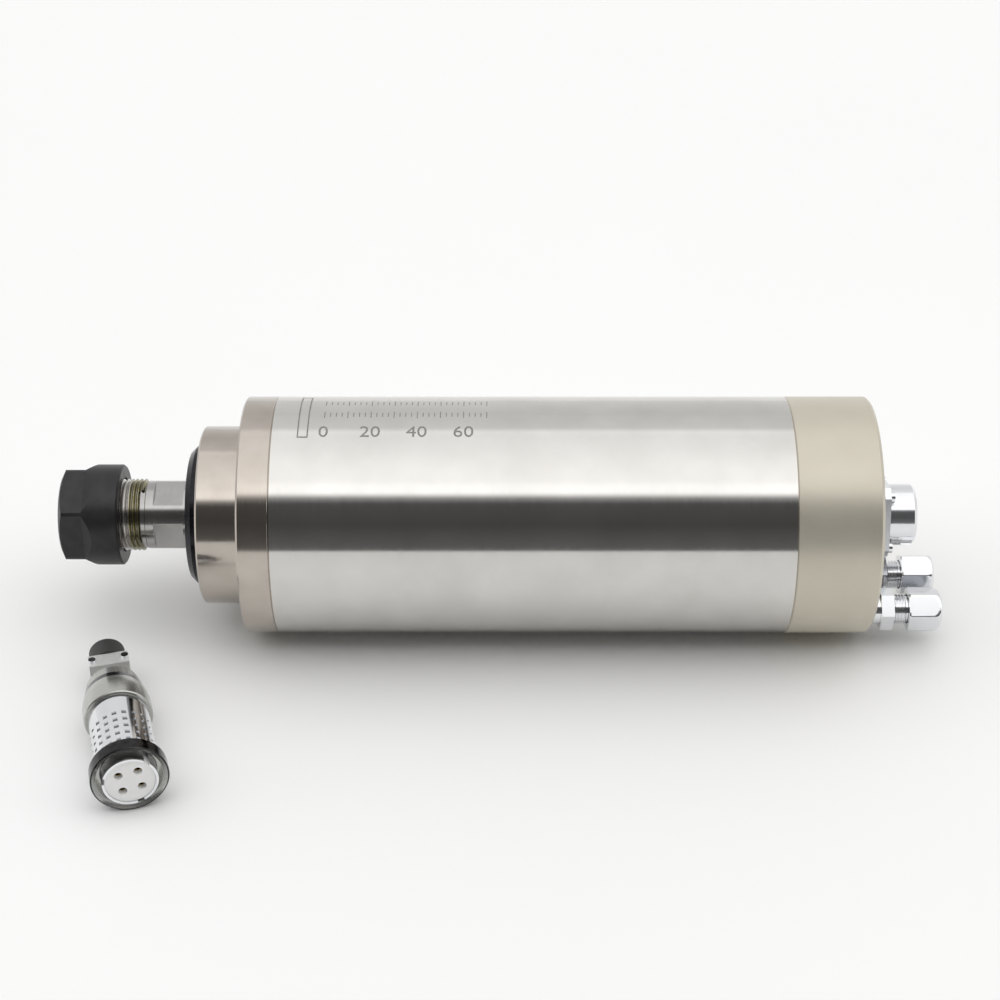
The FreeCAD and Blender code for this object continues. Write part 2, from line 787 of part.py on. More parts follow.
def rear_locknut():
    body = turned("rear_locknut", [
        (REAR_BEARING_END, "rear_bore + fit_gap"),
        (REAR_BEARING_END + " + locknut_width", "rear_bore + fit_gap"),
        (REAR_BEARING_END + " + locknut_width", "locknut_radius"),
        (REAR_BEARING_END + " + 1", "locknut_radius"),
        (REAR_BEARING_END, "locknut_radius - 1"),
    ])
    slot = cut_box(body, "hook_slot", REAR_BEARING_END + " + 1", {
        "Length": "hook_slot_width", "Width": "hook_slot_width", "Height": "locknut_width"},
        "-hook_slot_width / 2", "locknut_radius - hook_slot_depth")
    around(body, slot, 4, "hook_slots")
    return body


# Collet chuck

def collet():
    """Double-angle collet: long back cone, steep front cone, extraction groove and slits."""
    head = "collet_head_radius + collet_head_length * tan(collet_head_taper)"
    cone_length = "(collet_length - collet_head_length - collet_groove_width)"
    body = turned("collet", [
        (COLLET_FRONT, "tool_radius"),
        (COLLET_REAR, "tool_radius"),
        (COLLET_REAR, "collet_radius - %s * tan(collet_taper)" % cone_length),
        (COLLET_CONE, "collet_radius"),
        (COLLET_CONE, "collet_groove_radius"),
        (COLLET_FRONT + " + collet_head_length", "collet_groove_radius"),
        (COLLET_FRONT + " + collet_head_length", head),
        (COLLET_FRONT, "collet_head_radius"),
    ])
    for name, start, turn in (
            ("front_slit", COLLET_FRONT, FRONT_SLIT_ANGLE),
            ("rear_slit", COLLET_REAR + " - collet_slit_reach",
             FRONT_SLIT_ANGLE + 180.0 / SIZES["collet_slits"])):
        slit = cut_box(body, name, start, {
            "Length": "collet_slit_width", "Width": "collet_radius", "Height": "collet_slit_reach"},
            "-collet_slit_width / 2", "tool_radius / 2", turn)
        around(body, slit, "collet_slits", name + "s")
    return body


def collet_nut():
    """Round nut with six milled flats that run out on its collar, and the steep cone inside."""
    thread_bore = "thread_outer + taper_gap"
    head = "collet_head_radius + collet_head_length * tan(collet_head_taper)"
    ring_seat = COLLET_FRONT + " + collet_head_length + fit_gap"
    ring_end = ring_seat + " + extractor_width + fit_gap"
    flat_end = NUT_FRONT + " + nut_flat_length"
    body = turned("collet_nut", [
        (NUT_FRONT, "collet_head_radius + taper_gap"),
        (COLLET_FRONT, "collet_head_radius + taper_gap"),
        (ring_seat, head + " + taper_gap"),
        (ring_seat, "extractor_outer + fit_gap"),
        (ring_end, "extractor_outer + fit_gap"),
        (NOSE_END + " - nose_gap", thread_bore),
        (NUT_REAR, thread_bore),
        (NUT_REAR, "nut_radius - edge_chamfer"),
        (NUT_REAR + " - edge_chamfer", "nut_radius"),
        (NUT_FRONT + " + nut_chamfer", "nut_radius"),
        (NUT_FRONT, "nut_face_radius"),
    ])
    flat = body.newObject("PartDesign::Pocket", "nut_flat")
    flat.Profile = sketch(body, "nut_flat_outline", [
        (NUT_FRONT + " - 1", "nut_across / 2"),
        (flat_end, "nut_across / 2"),
        (flat_end + " + nut_flat_run", "nut_radius + 0.1"),
        (flat_end + " + nut_flat_run", "nut_radius + 2"),
        (NUT_FRONT + " - 1", "nut_radius + 2"),
    ])
    flat.Midplane = True
    bind(flat, "Length", "2 * nut_radius")
    around(body, flat, 6, "nut_flats")
    turn_body(body, NOSE_HEX_ANGLE)
    return body


def extractor_ring():
    """Ring whose lip lies in the groove of the collet and draws it out with the nut."""
    start = COLLET_FRONT + " + collet_head_length + 2 * fit_gap"
    lip = "collet_groove_radius + running_gap"
    return turned("extractor_ring", [
        (start, lip),
        (start + " + extractor_width - fit_gap", lip),
        (start + " + extractor_width - fit_gap", "extractor_outer"),
        (start, "extractor_outer"),
    ])


# Rear end

def ports():
    """Name and place of each water port, low on the rear face."""
    return [(name, "-body_radius * %s_side" % name, "-body_radius * %s_drop" % name)
            for name in FITTING_ANGLES]


def bearing_carrier():
    """Aluminium disc that closes the jacket and holds the rear bearing."""
    spigot_front = CARRIER_FRONT + " - carrier_spigot"
    step_front = REAR_BEARING_START + " - carrier_stop - spring_height"
    body = turned("rear_bearing_carrier", [
        (step_front, "rear_outer - 2 * race_shoulder"),
        (step_front + " + carrier_stop", "rear_outer - 2 * race_shoulder"),
        (step_front + " + carrier_stop", "rear_outer + fit_gap"),
        (SLEEVE_END, "rear_outer + fit_gap"),
        (SLEEVE_END, JACKET_OUTER),
        (CARRIER_FRONT, JACKET_OUTER),
        (CARRIER_FRONT, SPIGOT),
        (spigot_front, SPIGOT),
        (spigot_front, "rear_outer + 2 * carrier_stop"),
        (step_front, "rear_outer + 2 * carrier_stop"),
    ])
    for name, y, z in ports():
        rod(body, name + "_channel", CARRIER_FRONT, "carrier_flange", "water_bore", y, z, True)
    seat_wall = "rear_outer + 2 * carrier_stop"
    rod(body, "lead_passage", spigot_front, "carrier_spigot + carrier_flange",
        "(%s - %s - carrier_stop) / 2" % (SPIGOT, seat_wall), "0",
        "(%s + %s) / 2" % (SPIGOT, seat_wall), True)
    hole_circle(body, "cap_tapped_hole", CARRIER_FRONT, "carrier_flange",
                "cap_screw_radius + fit_gap", CAP_SCREW_CIRCLE, "cap_screw_count", CAP_SCREW_ANGLE)
    return body


def preload_spring():
    """Cone-shaped spring ring that pushes the rear outer race back."""
    start = REAR_BEARING_START + " - spring_height"
    inner = "rear_outer - 1.5 * race_shoulder"
    outer = "rear_outer - fit_gap"
    return turned("preload_spring", [
        (start, outer),
        (start, outer + " - spring_thickness"),
        (REAR_BEARING_START + " - spring_thickness", inner),
        (REAR_BEARING_START, inner),
        (REAR_BEARING_START, inner + " + spring_thickness"),
        (start + " + spring_thickness", outer),
    ])


def rear_cap():
    """Cast cap: end wall, skirt, screw posts, port bosses and the socket's foot."""
    inner = "body_radius - cap_wall"
    wall = CAP_END + " - cap_end_wall"
    body = turned("rear_cap", [
        (SLEEVE_END, inner),
        (wall, inner),
        (wall, "0"),
        (SOCKET_BASE, "0"),
        (SOCKET_BASE, "cap_boss_radius - edge_chamfer"),
        (SOCKET_BASE + " - edge_chamfer", "cap_boss_radius"),
        (CAP_END, "cap_boss_radius"),
        (CAP_END, "body_radius - cap_round"),
        (CAP_END + " - cap_round", "body_radius"),
        (SLEEVE_END + " + edge_chamfer / 2", "body_radius"),
        (SLEEVE_END, "body_radius - edge_chamfer / 2"),
    ])
    post = rod(body, "screw_post", SLEEVE_END, "cap_length - cap_end_wall", "cap_post_radius",
               "%s * cos(%g)" % (CAP_SCREW_CIRCLE, CAP_SCREW_ANGLE),
               "%s * sin(%g)" % (CAP_SCREW_CIRCLE, CAP_SCREW_ANGLE))
    around(body, post, "cap_screw_count", "screw_posts")
    for name, y, z in ports():
        rod(body, name + "_boss", SLEEVE_END, "cap_length - cap_end_wall", "port_boss_radius", y, z)
    for name, y, z in ports():
        rod(body, name + "_passage", SLEEVE_END, "cap_length", "water_bore", y, z, True)
        rod(body, name + "_port", CAP_END + " - cap_end_wall", "cap_end_wall",
            "port_radius + fit_gap", y, z, True)
    rod(body, "socket_opening", wall, "cap_end_wall + cap_boss_height",
        "socket_bore + 2 * fit_gap", cut=True)
    plate_holes(body, SOCKET_BASE + " - socket_screw_depth", "socket_screw_depth", SOCKET_TURN)
    hole_circle(body, "cap_screw_hole", SLEEVE_END, "cap_length", "cap_screw_radius + fit_gap",
                CAP_SCREW_CIRCLE, "cap_screw_count", CAP_SCREW_ANGLE)
    hole_circle(body, "cap_counterbore", CAP_END + " - cap_head_height", "cap_head_height",
                "cap_head_radius + fit_gap", CAP_SCREW_CIRCLE, "cap_screw_count", CAP_SCREW_ANGLE)
    return body


def rear_screws():
    cap_screws("cap_screws", "(%s - cap_head_height)" % CAP_END,
               "(cap_length - cap_head_height + carrier_flange)", CAP_SCREW_CIRCLE,
               "cap_screw_count", CAP_SCREW_ANGLE, "cap_screw_radius", "cap_head_radius",
               "cap_head_height", -1)


# Power socket

def square_plate(body, name, start, thickness):
    """The square foot of the socket, corners cut at 45 degrees."""
    half = "socket_plate_side / 2"
    cut = "socket_plate_side / 2 - socket_plate_corner"
    corners = []
    for y_sign, z_sign, y_first in ((1, 1, True), (-1, 1, False), (-1, -1, True), (1, -1, False)):
        wide = ("%d * (%s)" % (y_sign, half), "%d * (%s)" % (z_sign, cut))
        tall = ("%d * (%s)" % (y_sign, cut), "%d * (%s)" % (z_sign, half))
        corners += [wide, tall] if y_first else [tall, wide]
    outline = sketch(body, name + "_outline", corners, "YZ_Plane")
    bind(outline, "AttachmentOffset.Base.z", start)
    pad = body.newObject("PartDesign::Pad", name)
    pad.Profile = outline
    bind(pad, "Length", thickness)
    body.Tip = pad
    return pad


def socket_gasket():
    body = new_body("socket_gasket")
    square_plate(body, "gasket_sheet", SOCKET_BASE, "gasket_thickness")
    rod(body, "gasket_hole", SOCKET_BASE, "gasket_thickness", "socket_bore + 2 * fit_gap", cut=True)
    plate_holes(body, SOCKET_BASE, "gasket_thickness")
    turn_body(body, SOCKET_TURN)
    return body


def plate_holes(body, start, length, turn=0.0):
    hole_circle(body, "plate_hole", start, length, "socket_screw_radius + fit_gap",
                "socket_screw_square / sqrt(2)", 4, PLATE_HOLE_ANGLE + turn)


def socket_shell():
    body = new_body("power_socket_shell")
    square_plate(body, "socket_plate_pad", PLATE_FRONT, "socket_plate")
    turn_more(body, "socket_barrel", [
        (PLATE_REAR, "socket_bore - 1"),
        (SOCKET_END, "socket_bore - 1"),
        (SOCKET_END, "socket_radius - 1"),
        (SOCKET_END + " - 1", "socket_radius"),
        (PLATE_REAR, "socket_radius"),
    ])
    rod(body, "socket_hollow", PLATE_FRONT, "socket_plate + socket_length", "socket_bore", cut=True)
    plate_holes(body, PLATE_FRONT, "socket_plate")
    turn_body(body, SOCKET_TURN)
    return body


def socket_insert():
    face = SOCKET_END + " - socket_face_depth"
    body = turned("power_socket_insert", [
        (PLATE_FRONT + " - socket_tail", "0"),
        (face, "0"),
        (face, "socket_bore - fit_gap"),
        (PLATE_FRONT + " - socket_tail", "socket_bore - fit_gap"),
    ])
    half = "pin_square / 2"
    hole = rod(body, "pin_hole", PLATE_FRONT + " - socket_tail",
               "socket_tail + socket_plate + socket_length", "pin_radius + fit_gap",
               half, half, True)
    around(body, hole, 4, "pin_holes")
    turn_body(body, SOCKET_TURN)
    return body


def socket_pins():
    body = new_body("power_socket_pins")
    half = "pin_square / 2"
    start = PLATE_FRONT + " - socket_tail - pin_tail"
    end = SOCKET_END + " - socket_face_depth + pin_length"
    pin = rod(body, "pin", start, "(%s) - (%s)" % (end, start), "pin_radius", half, half)
    around(body, pin, 4, "pin_ring")
    turn_body(body, SOCKET_TURN)
    return body


def socket_screws():
    half = "socket_screw_square / 2"
    body = new_body("socket_screws")
    shank = rod(body, "socket_screw_shank", SOCKET_BASE + " - socket_screw_depth",
                "socket_screw_depth + gasket_thickness + socket_plate + socket_head_height / 2",
                "socket_screw_radius", half, half)
    around(body, shank, 4, "socket_screw_shanks")
    head = rod(body, "socket_screw_head", PLATE_REAR, "socket_head_height",
               "socket_head_radius", half, half)
    around(body, head, 4, "socket_screw_heads")
    turn_body(body, SOCKET_TURN)
    return body


# Water fittings, each on its own axis

FITTING_BASE = "(%s + washer_thickness)" % CAP_END
FITTING_HEX = "(%s + fitting_neck_length)" % FITTING_BASE
FITTING_THREAD = "(%s + fitting_hex_length)" % FITTING_HEX
HOSE_NUT_START = "(%s + hose_nut_gap)" % FITTING_THREAD
HOSE_NUT_END = "(%s + hose_nut_length)" % HOSE_NUT_START


def carry(body, y, z):
    """Moves a body turned on the spindle axis to the axis of a port."""
    bind(body, "Placement.Base.y", y)
    bind(body, "Placement.Base.z", z)


def fitting_washers():
    for name, y, z in ports():
        body = turned(name + "_washer", [
            (CAP_END, "port_radius + fit_gap"),
            (FITTING_BASE, "port_radius + fit_gap"),
            (FITTING_BASE, "washer_radius"),
            (CAP_END, "washer_radius"),
        ])
        carry(body, y, z)


def fitting_bodies():
    thread_end = FITTING_THREAD + " + fitting_thread_length"
    for name, y, z in ports():
        body = turned(name + "_fitting", [
            (CAP_END + " - cap_end_wall + port_floor", "barb_bore"),
            (thread_end + " + barb_length", "barb_bore"),
            (thread_end + " + barb_length", "barb_radius - edge_chamfer"),
            (thread_end + " + barb_length - 2 * edge_chamfer", "barb_radius"),
            (thread_end, "barb_radius"),
            (thread_end, "fitting_thread - edge_chamfer"),
            (thread_end + " - edge_chamfer", "fitting_thread"),
            (FITTING_HEX, "fitting_thread"),
            (FITTING_HEX, "fitting_neck"),
            (FITTING_BASE, "fitting_neck"),
            (FITTING_BASE, "port_radius"),
            (CAP_END + " - cap_end_wall + port_floor", "port_radius"),
        ])
        hexagon(body, name + "_hexagon", FITTING_HEX, "fitting_hex_length", "fitting_hex",
                turn=FITTING_ANGLES[name])
        rod(body, name + "_bore", FITTING_HEX, "fitting_hex_length", "barb_bore", cut=True)
        carry(body, y, z)


def hose_nuts():
    """Compression nut: hexagon, cone and a narrow mouth for the hose."""
    cone_start = HOSE_NUT_START + " + hose_nut_hex_length"
    cone_end = cone_start + " + hose_nut_cone"
    bore = "fitting_thread + running_gap / 2"
    ferrule_seat = FITTING_THREAD + " + fitting_thread_length + fit_gap"
    for name, y, z in ports():
        body = new_body(name + "_hose_nut")
        hexagon(body, name + "_nut_hexagon", HOSE_NUT_START, "hose_nut_hex_length + hose_nut_cone",
                "hose_nut_hex", turn=FITTING_ANGLES[name])
        turn_more(body, name + "_nut_cone", [
            (cone_start, "hose_nut_hex / sqrt(3)"),
            (cone_end, "hose_nut_tip"),
            (cone_end, "hose_nut_hex"),
            (cone_start, "hose_nut_hex"),
        ], cut=True)
        turn_more(body, name + "_nut_mouth", [
            (cone_end, "hose_radius"),
            (HOSE_NUT_END, "hose_radius"),
            (HOSE_NUT_END, "hose_nut_tip - edge_chamfer"),
            (HOSE_NUT_END + " - edge_chamfer", "hose_nut_tip"),
            (cone_end, "hose_nut_tip"),
        ])
        turn_more(body, name + "_nut_bore", [
            (HOSE_NUT_START, "0"),
            (HOSE_NUT_END, "0"),
            (HOSE_NUT_END, "hose_radius"),
            (ferrule_seat + " + ferrule_length", "hose_radius"),
            (ferrule_seat, bore),
            (HOSE_NUT_START, bore),
        ], cut=True)
        carry(body, y, z)


def ferrules():
    """Tapered ring that the nut presses on to the hose."""
    start = FITTING_THREAD + " + fitting_thread_length + 2 * fit_gap"
    end = start + " + ferrule_length - 4 * fit_gap"
    slope = "(fitting_thread + running_gap / 2 - hose_radius)"
    for name, y, z in ports():
        body = turned(name + "_ferrule", [
            (start, "barb_radius + 2 * fit_gap"),
            (end, "barb_radius + 2 * fit_gap"),
            (end, "hose_radius - taper_gap + %s * 2 * fit_gap / ferrule_length" % slope),
            (start, "fitting_thread - taper_gap"),
        ])
        carry(body, y, z)


# Loose cable plug, built along X with the mouth of the coupling ring at X = 0

RING_REAR = "ring_length"
SHELL_FRONT = "(ring_length + running_gap)"
SHELL_END = "(ring_length + running_gap + plug_shell_length)"
COLLAR_END = "(%s + plug_collar_length)" % SHELL_END
NECK_END = "(%s + plug_neck_length)" % COLLAR_END
GROMMET_END = "(%s + grommet_length)" % NECK_END


def coupling_ring():
    """Band with the threaded mouth, and the narrower grip that turns on the key shell."""
    inner = "key_shell_radius + running_gap"
    return turned("plug_coupling_ring", [
        ("0", "ring_bore"),
        ("ring_band - ring_floor", "ring_bore"),
        ("ring_band - ring_floor", inner),
        (RING_REAR, inner),
        (RING_REAR, "ring_grip_radius - edge_chamfer / 2"),
        (RING_REAR + " - edge_chamfer / 2", "ring_grip_radius"),
        ("ring_band + edge_chamfer", "ring_grip_radius"),
        ("ring_band", "ring_grip_radius + edge_chamfer"),
        ("ring_band", "ring_radius - edge_chamfer / 2"),
        ("ring_band - edge_chamfer / 2", "ring_radius"),
        ("edge_chamfer", "ring_radius"),
        ("0", "ring_radius - edge_chamfer"),
    ])


def key_shell():
    """Inner tube of the plug, with the key slots at its mouth."""
    body = turned("plug_key_shell", [
        ("-key_shell_proud", "key_shell_radius - key_shell_wall"),
        (SHELL_FRONT + " + shell_lip", "key_shell_radius - key_shell_wall"),
        (SHELL_FRONT + " + shell_lip", "key_shell_radius"),
        ("-key_shell_proud", "key_shell_radius"),
    ])
    slot = shape_on_axis(body, "SubtractiveBox", "key_slot", "-key_shell_proud", {
        "Length": "key_slot_width", "Width": "2 * key_shell_wall", "Height": "key_slot_length"},
        "-key_slot_width / 2", "key_shell_radius - 1.5 * key_shell_wall")
    around(body, slot, 3, "key_slots")
    return body


def plug_insert():
    body = turned("plug_insert", [
        ("-key_shell_proud + insert_recess", "0"),
        ("insert_length", "0"),
        ("insert_length", "key_shell_radius - key_shell_wall - fit_gap"),
        ("-key_shell_proud + insert_recess", "key_shell_radius - key_shell_wall - fit_gap"),
    ])
    half = "pin_square / 2"
    hole = rod(body, "contact_hole", "-key_shell_proud", "insert_length + 2 * key_shell_proud",
               "hole_radius", half, half, True)
    around(body, hole, 4, "contact_holes")
    return body


def plug_contacts():
    body = new_body("plug_contacts")
    half = "pin_square / 2"
    length = "insert_length + contact_tail - contact_recess"
    contact = rod(body, "contact", "contact_recess", length, "hole_radius - fit_gap", half, half)
    around(body, contact, 4, "contact_ring")
    bore = rod(body, "contact_bore", "contact_recess", "contact_depth", "pin_radius", half, half,
               True)
    around(body, bore, 4, "contact_bores")
    return body


def plug_shell():
    """Nickel body: straight, tapered to a shoulder, a collar and the neck for the cable."""
    inner = "plug_collar_radius - 2 * plug_shell_wall"
    return turned("plug_shell", [
        (SHELL_FRONT, "key_shell_radius + fit_gap"),
        (SHELL_FRONT + " + shell_lip + fit_gap", "key_shell_radius + fit_gap"),
        (SHELL_FRONT + " + shell_lip + fit_gap", inner),
        (COLLAR_END + " - plug_shell_wall", inner),
        (COLLAR_END + " - plug_shell_wall", "plug_neck_radius - plug_shell_wall"),
        (NECK_END, "plug_neck_radius - plug_shell_wall"),
        (NECK_END, "plug_neck_radius"),
        (COLLAR_END, "plug_neck_radius"),
        (COLLAR_END, "plug_collar_radius - 2 * edge_chamfer"),
        (COLLAR_END + " - 2 * edge_chamfer", "plug_collar_radius"),
        (SHELL_END + " + edge_chamfer", "plug_collar_radius"),
        (SHELL_END, "plug_shell_radius - plug_shell_taper"),
        (SHELL_FRONT + " + plug_shell_straight", "plug_shell_radius"),
        (SHELL_FRONT + " + edge_chamfer / 2", "plug_shell_radius"),
        (SHELL_FRONT, "plug_shell_radius - edge_chamfer / 2"),
    ])


CLAMP_START = "(%s - clamp_width)" % NECK_END
SADDLE_TOP = "(plug_neck_radius + clamp_thickness / 2)"


def upright(body, name, kind, side, bottom, height, radius):
    """A cylinder square to the plug's axis, through one ear of the cable clamp."""
    item = body.newObject("PartDesign::%sCylinder" % kind, name)
    item.AttachmentSupport = [(origin_item(body, "XY_Plane"), "")]
    item.MapMode = "FlatFace"
    bind(item, "AttachmentOffset.Base.x", CLAMP_START + " + clamp_width / 2")
    bind(item, "AttachmentOffset.Base.y", "%d * clamp_screw_circle" % side)
    bind(item, "AttachmentOffset.Base.z", bottom)
    bind(item, "Radius", radius)
    bind(item, "Height", height)
    body.Tip = item
    return item


def cable_clamp():
    """Two saddles across the neck, drawn together by two screws."""
    for name, low in (("upper", "fit_gap"), ("lower", "-fit_gap - " + SADDLE_TOP)):
        body = new_body("plug_clamp_" + name)
        shape_on_axis(body, "AdditiveBox", name + "_saddle", CLAMP_START, {
            "Length": "clamp_span", "Width": SADDLE_TOP, "Height": "clamp_width"},
            "-clamp_span / 2", low)
        rod(body, name + "_saddle_bore", CLAMP_START, "clamp_width",
            "plug_neck_radius + fit_gap", cut=True)
        for side in (1, -1):
            upright(body, "%s_ear_%d" % (name, side + 1), "Subtractive", side, low,
                    SADDLE_TOP, "clamp_screw_radius + fit_gap")


def clamp_screws():
    body = new_body("plug_clamp_screws")
    for side in (1, -1):
        upright(body, "clamp_shank_%d" % (side + 1), "Additive", side, "-" + SADDLE_TOP,
                "2 * %s + fit_gap + clamp_head_height / 2" % SADDLE_TOP, "clamp_screw_radius")
        upright(body, "clamp_head_%d" % (side + 1), "Additive", side, SADDLE_TOP + " + fit_gap",
                "clamp_head_height", "clamp_head_radius")
    return body


def plug_grommet():
    return turned("plug_grommet", [
        (NECK_END + " + fit_gap", "grommet_bore"),
        (GROMMET_END, "grommet_bore"),
        (GROMMET_END, "grommet_radius - 1"),
        (GROMMET_END + " - 1", "grommet_radius"),
        (NECK_END + " + fit_gap", "grommet_radius"),
    ])


PLUG_LABELS = ("plug_coupling_ring", "plug_key_shell", "plug_insert", "plug_contacts",
               "plug_shell", "plug_clamp_upper", "plug_clamp_lower", "plug_clamp_screws",
               "plug_grommet")
PLUG_ROLLS = {"plug_key_shell": KEY_ROLL, "plug_insert": INSERT_ROLL, "plug_contacts": INSERT_ROLL}


def lay_plug_down():
    """Lays the plug on the table: it rests on the band of its ring and on its shell."""
    size = {name: value_of(name) for name in SIZES}
    rest_front = size["ring_band"]
    rest_rear = value_of(SHELL_FRONT) + size["plug_shell_straight"]
    tilt = math.atan2(size["ring_radius"] - size["plug_shell_radius"], rest_rear - rest_front)
    height = size["ring_radius"] * math.cos(tilt) + rest_front * math.sin(tilt)
    yaw = FreeCAD.Rotation(FreeCAD.Vector(0, 0, 1), 90 + size["plug_yaw"])
    pitch = FreeCAD.Rotation(FreeCAD.Vector(0, 1, 0), math.degrees(tilt))
    place = FreeCAD.Vector(size["plug_x"], size["plug_y"], height - size["body_radius"])
    for label in PLUG_LABELS:
        roll = FreeCAD.Rotation(FreeCAD.Vector(1, 0, 0), PLUG_ROLLS.get(label, 0.0))
        turn = yaw.multiply(pitch).multiply(roll)
        doc.getObjectsByLabel(label)[0].Placement = FreeCAD.Placement(place, turn)


# The whole spindle

def build():
    outer_sleeve()
    water_jacket()
    jacket_seals()
    front_housing()
    front_retainer()
    housing_screws()
    bearings()
    spacers()
    stator_core()
    stator_winding()
    rotor_core()
    squirrel_cage()
    shaft()
    dust_slinger()
    rear_locknut()
    collet()
    collet_nut()
    extractor_ring()
    bearing_carrier()
    preload_spring()
    rear_cap()
    rear_screws()
    socket_gasket()
    socket_shell()
    socket_insert()
    socket_pins()
    socket_screws()
    fitting_washers()
    fitting_bodies()
    hose_nuts()
    ferrules()
    coupling_ring()
    key_shell()
    plug_insert()
    plug_contacts()
    plug_shell()
    cable_clamp()
    clamp_screws()
    plug_grommet()


def check_document(bodies):
    for item in doc.Objects:
        if "Invalid" in item.State or "Error" in item.State:
            raise RuntimeError("%s failed to build" % item.Name)
    for body in bodies:
        if body.Shape.isNull() or not body.Shape.isValid():
            raise RuntimeError("%s has no sound shape" % body.Label)


build()
doc.recompute()
lay_plug_down()
doc.recompute()
bodies = [item for item in doc.Objects if item.TypeId == "PartDesign::Body"]
check_document(bodies)
os.makedirs("parts", exist_ok=True)
for body in bodies:
    body.Shape.exportStep("parts/%s.step" % body.Label)
    print(body.Label, len(body.Shape.Solids), round(body.Shape.Volume, 1))
print(len(bodies), "sub-parts")
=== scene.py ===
import json
import math

import bmesh
import bpy
from mathutils import Matrix, Vector


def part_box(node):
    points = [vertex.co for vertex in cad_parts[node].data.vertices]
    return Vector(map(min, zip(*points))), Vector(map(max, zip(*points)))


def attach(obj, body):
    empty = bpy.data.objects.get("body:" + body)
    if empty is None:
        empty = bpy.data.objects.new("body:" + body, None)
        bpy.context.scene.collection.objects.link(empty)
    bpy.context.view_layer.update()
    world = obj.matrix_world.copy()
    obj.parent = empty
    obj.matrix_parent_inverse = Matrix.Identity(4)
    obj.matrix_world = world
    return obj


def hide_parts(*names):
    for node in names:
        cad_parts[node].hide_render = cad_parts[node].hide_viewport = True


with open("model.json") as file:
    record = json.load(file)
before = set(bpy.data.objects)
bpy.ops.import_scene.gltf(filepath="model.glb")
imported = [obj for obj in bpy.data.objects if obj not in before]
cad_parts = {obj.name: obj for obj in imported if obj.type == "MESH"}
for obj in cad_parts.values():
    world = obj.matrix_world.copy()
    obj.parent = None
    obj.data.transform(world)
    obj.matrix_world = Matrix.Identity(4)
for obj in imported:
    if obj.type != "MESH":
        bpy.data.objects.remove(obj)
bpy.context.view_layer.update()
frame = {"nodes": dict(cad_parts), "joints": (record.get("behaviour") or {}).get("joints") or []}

# Motor spindle. Sizes are in millimetres and become metres by MM. X runs along the spindle to
# the rear, Z is up, and the camera stands on the -Y side.
MM = 0.001

# Points of a mesh nearer than this become one, in metres
MERGE_DISTANCE = 1e-7

# The body, and the table that it lies on
BODY_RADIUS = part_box("outer_sleeve")[1].z / MM
FLOOR_Z = -BODY_RADIUS

# Thread of the nose and the oiled part of it; half its foot, half its tip and its bare end are
# shares of the pitch, and BARE_THREAD is the length seen behind the nut
THREAD_PITCH = 1.5
THREAD_CORE = 11.35
THREAD_CREST = 12.15
THREAD_FOOT = 0.46
THREAD_TIP = 0.08
THREAD_END = 0.7
THREAD_STEPS = 64
THREAD_CREASE = 25.0
BARE_THREAD = 8.4
OIL_FRONT = -38.8
OIL_REAR = -32.8
OIL_FADE = 0.6

# Plug ring: a band at the mouth and a narrower grip; the dents lie from GRIP_START to GRIP_END
RING_BORE = 10.4
RING_RADIUS = 12.2
RING_BAND = 5.0
RING_FLOOR = 1.0
RING_LIP = 0.5
RING_FLARE = 1.1
RING_EDGE = 0.4
MOUTH_EDGE = 0.25
RING_LENGTH = 30.3
GRIP_START = 6.2
GRIP_END = 23.0
GRIP_RADIUS = 9.8
GRIP_BORE = 8.9
GRIP_FOOT = 0.6
GRIP_EDGE = 0.3
GRIP_COLUMNS = 20
GRIP_ROWS = 5
GRIP_CREASE = 40.0

# Small dents of the grip: each takes the middle faces of its column, where the faces are as
# long as a dent to within DENT_SPREAD
COLUMN_FACES = 4
DENT_FACES = (1, 2)
DENT_LENGTH = 1.5
DENT_SPREAD = 0.05
DENT_DEPTH = 0.45
DENT_SLOPE = 0.15

# Faces are told apart by their place to within this
NEAR = 0.1

# Plug body: places along the plug and radii, from the ring to the neck
BODY_FRONT = 30.5
BODY_BORE = 8.76
BODY_WIDEST = 11.0
BODY_EDGE = 0.3
BODY_STEPS = 96
BODY_CREASE = 28.0
SHOULDER = 42.5
SHOULDER_LENGTH = 2.2
GROOVE_END = 43.25
GROOVE_RADIUS = 9.0
COLLAR_START = 43.8
COLLAR_END = 48.0
COLLAR_RADIUS = 8.95
COLLAR_FACE = 7.6
COLLAR_WALL = 1.0
NECK_END = 59.3
NECK_RADIUS = 4.0
SADDLE_TOP = 5.1
CLAMP_HEAD = 0.83
CLAMP_MIDDLE = 56.3
CLAMP_SCREW_SIDE = 5.3

# Rounded edge of the collar: (back from its end, out from the edge of its face). Rounded taper
# of the body: (forward of the shoulder, radius)
COLLAR_ROUND = ((0.0, 0.0), (0.35, 0.65), (1.2, 1.2))
BODY_TAPER = ((0.0, 9.75), (SHOULDER_LENGTH, 10.2), (3.5, 10.45), (6.5, BODY_WIDEST))

# Power socket: thickness of its foot, its barrel, the length without thread at its mouth, the
# turn of its foot in degrees, and the distance of its four screws from the middle, each way
SOCKET_PLATE = 2.1
SOCKET_RADIUS = 10.4
SOCKET_PLAIN = 3.4
SOCKET_TURN = -18.0
FOOT_SCREW_SIDE = 8.8

# Fine threads of the socket and the fittings; half the foot and half the tip are shares of the
# pitch, and the socket's thread stands FINE_RISE above and below its barrel
FINE_PITCH = 1.0
FINE_FOOT = 0.45
FINE_TIP = 0.12
FINE_RISE = 0.05
FINE_STEPS = 40
FITTING_CORE = 4.55
FITTING_CREST = 4.95
FITTING_SHOWN = 4.8
FITTING_COVER = 0.4

# Recesses in the small screw heads, drawn as dark bars of painted shade: sides of the bars, and
# how far they are turned
CROSS_SHADE_BAR = (0.03, 2.2, 0.45)
CROSS_TURN = 0.3
SLOT_SHADE_BAR = (0.35, 1.9, 0.03)
SLOT_TURN = 0.4

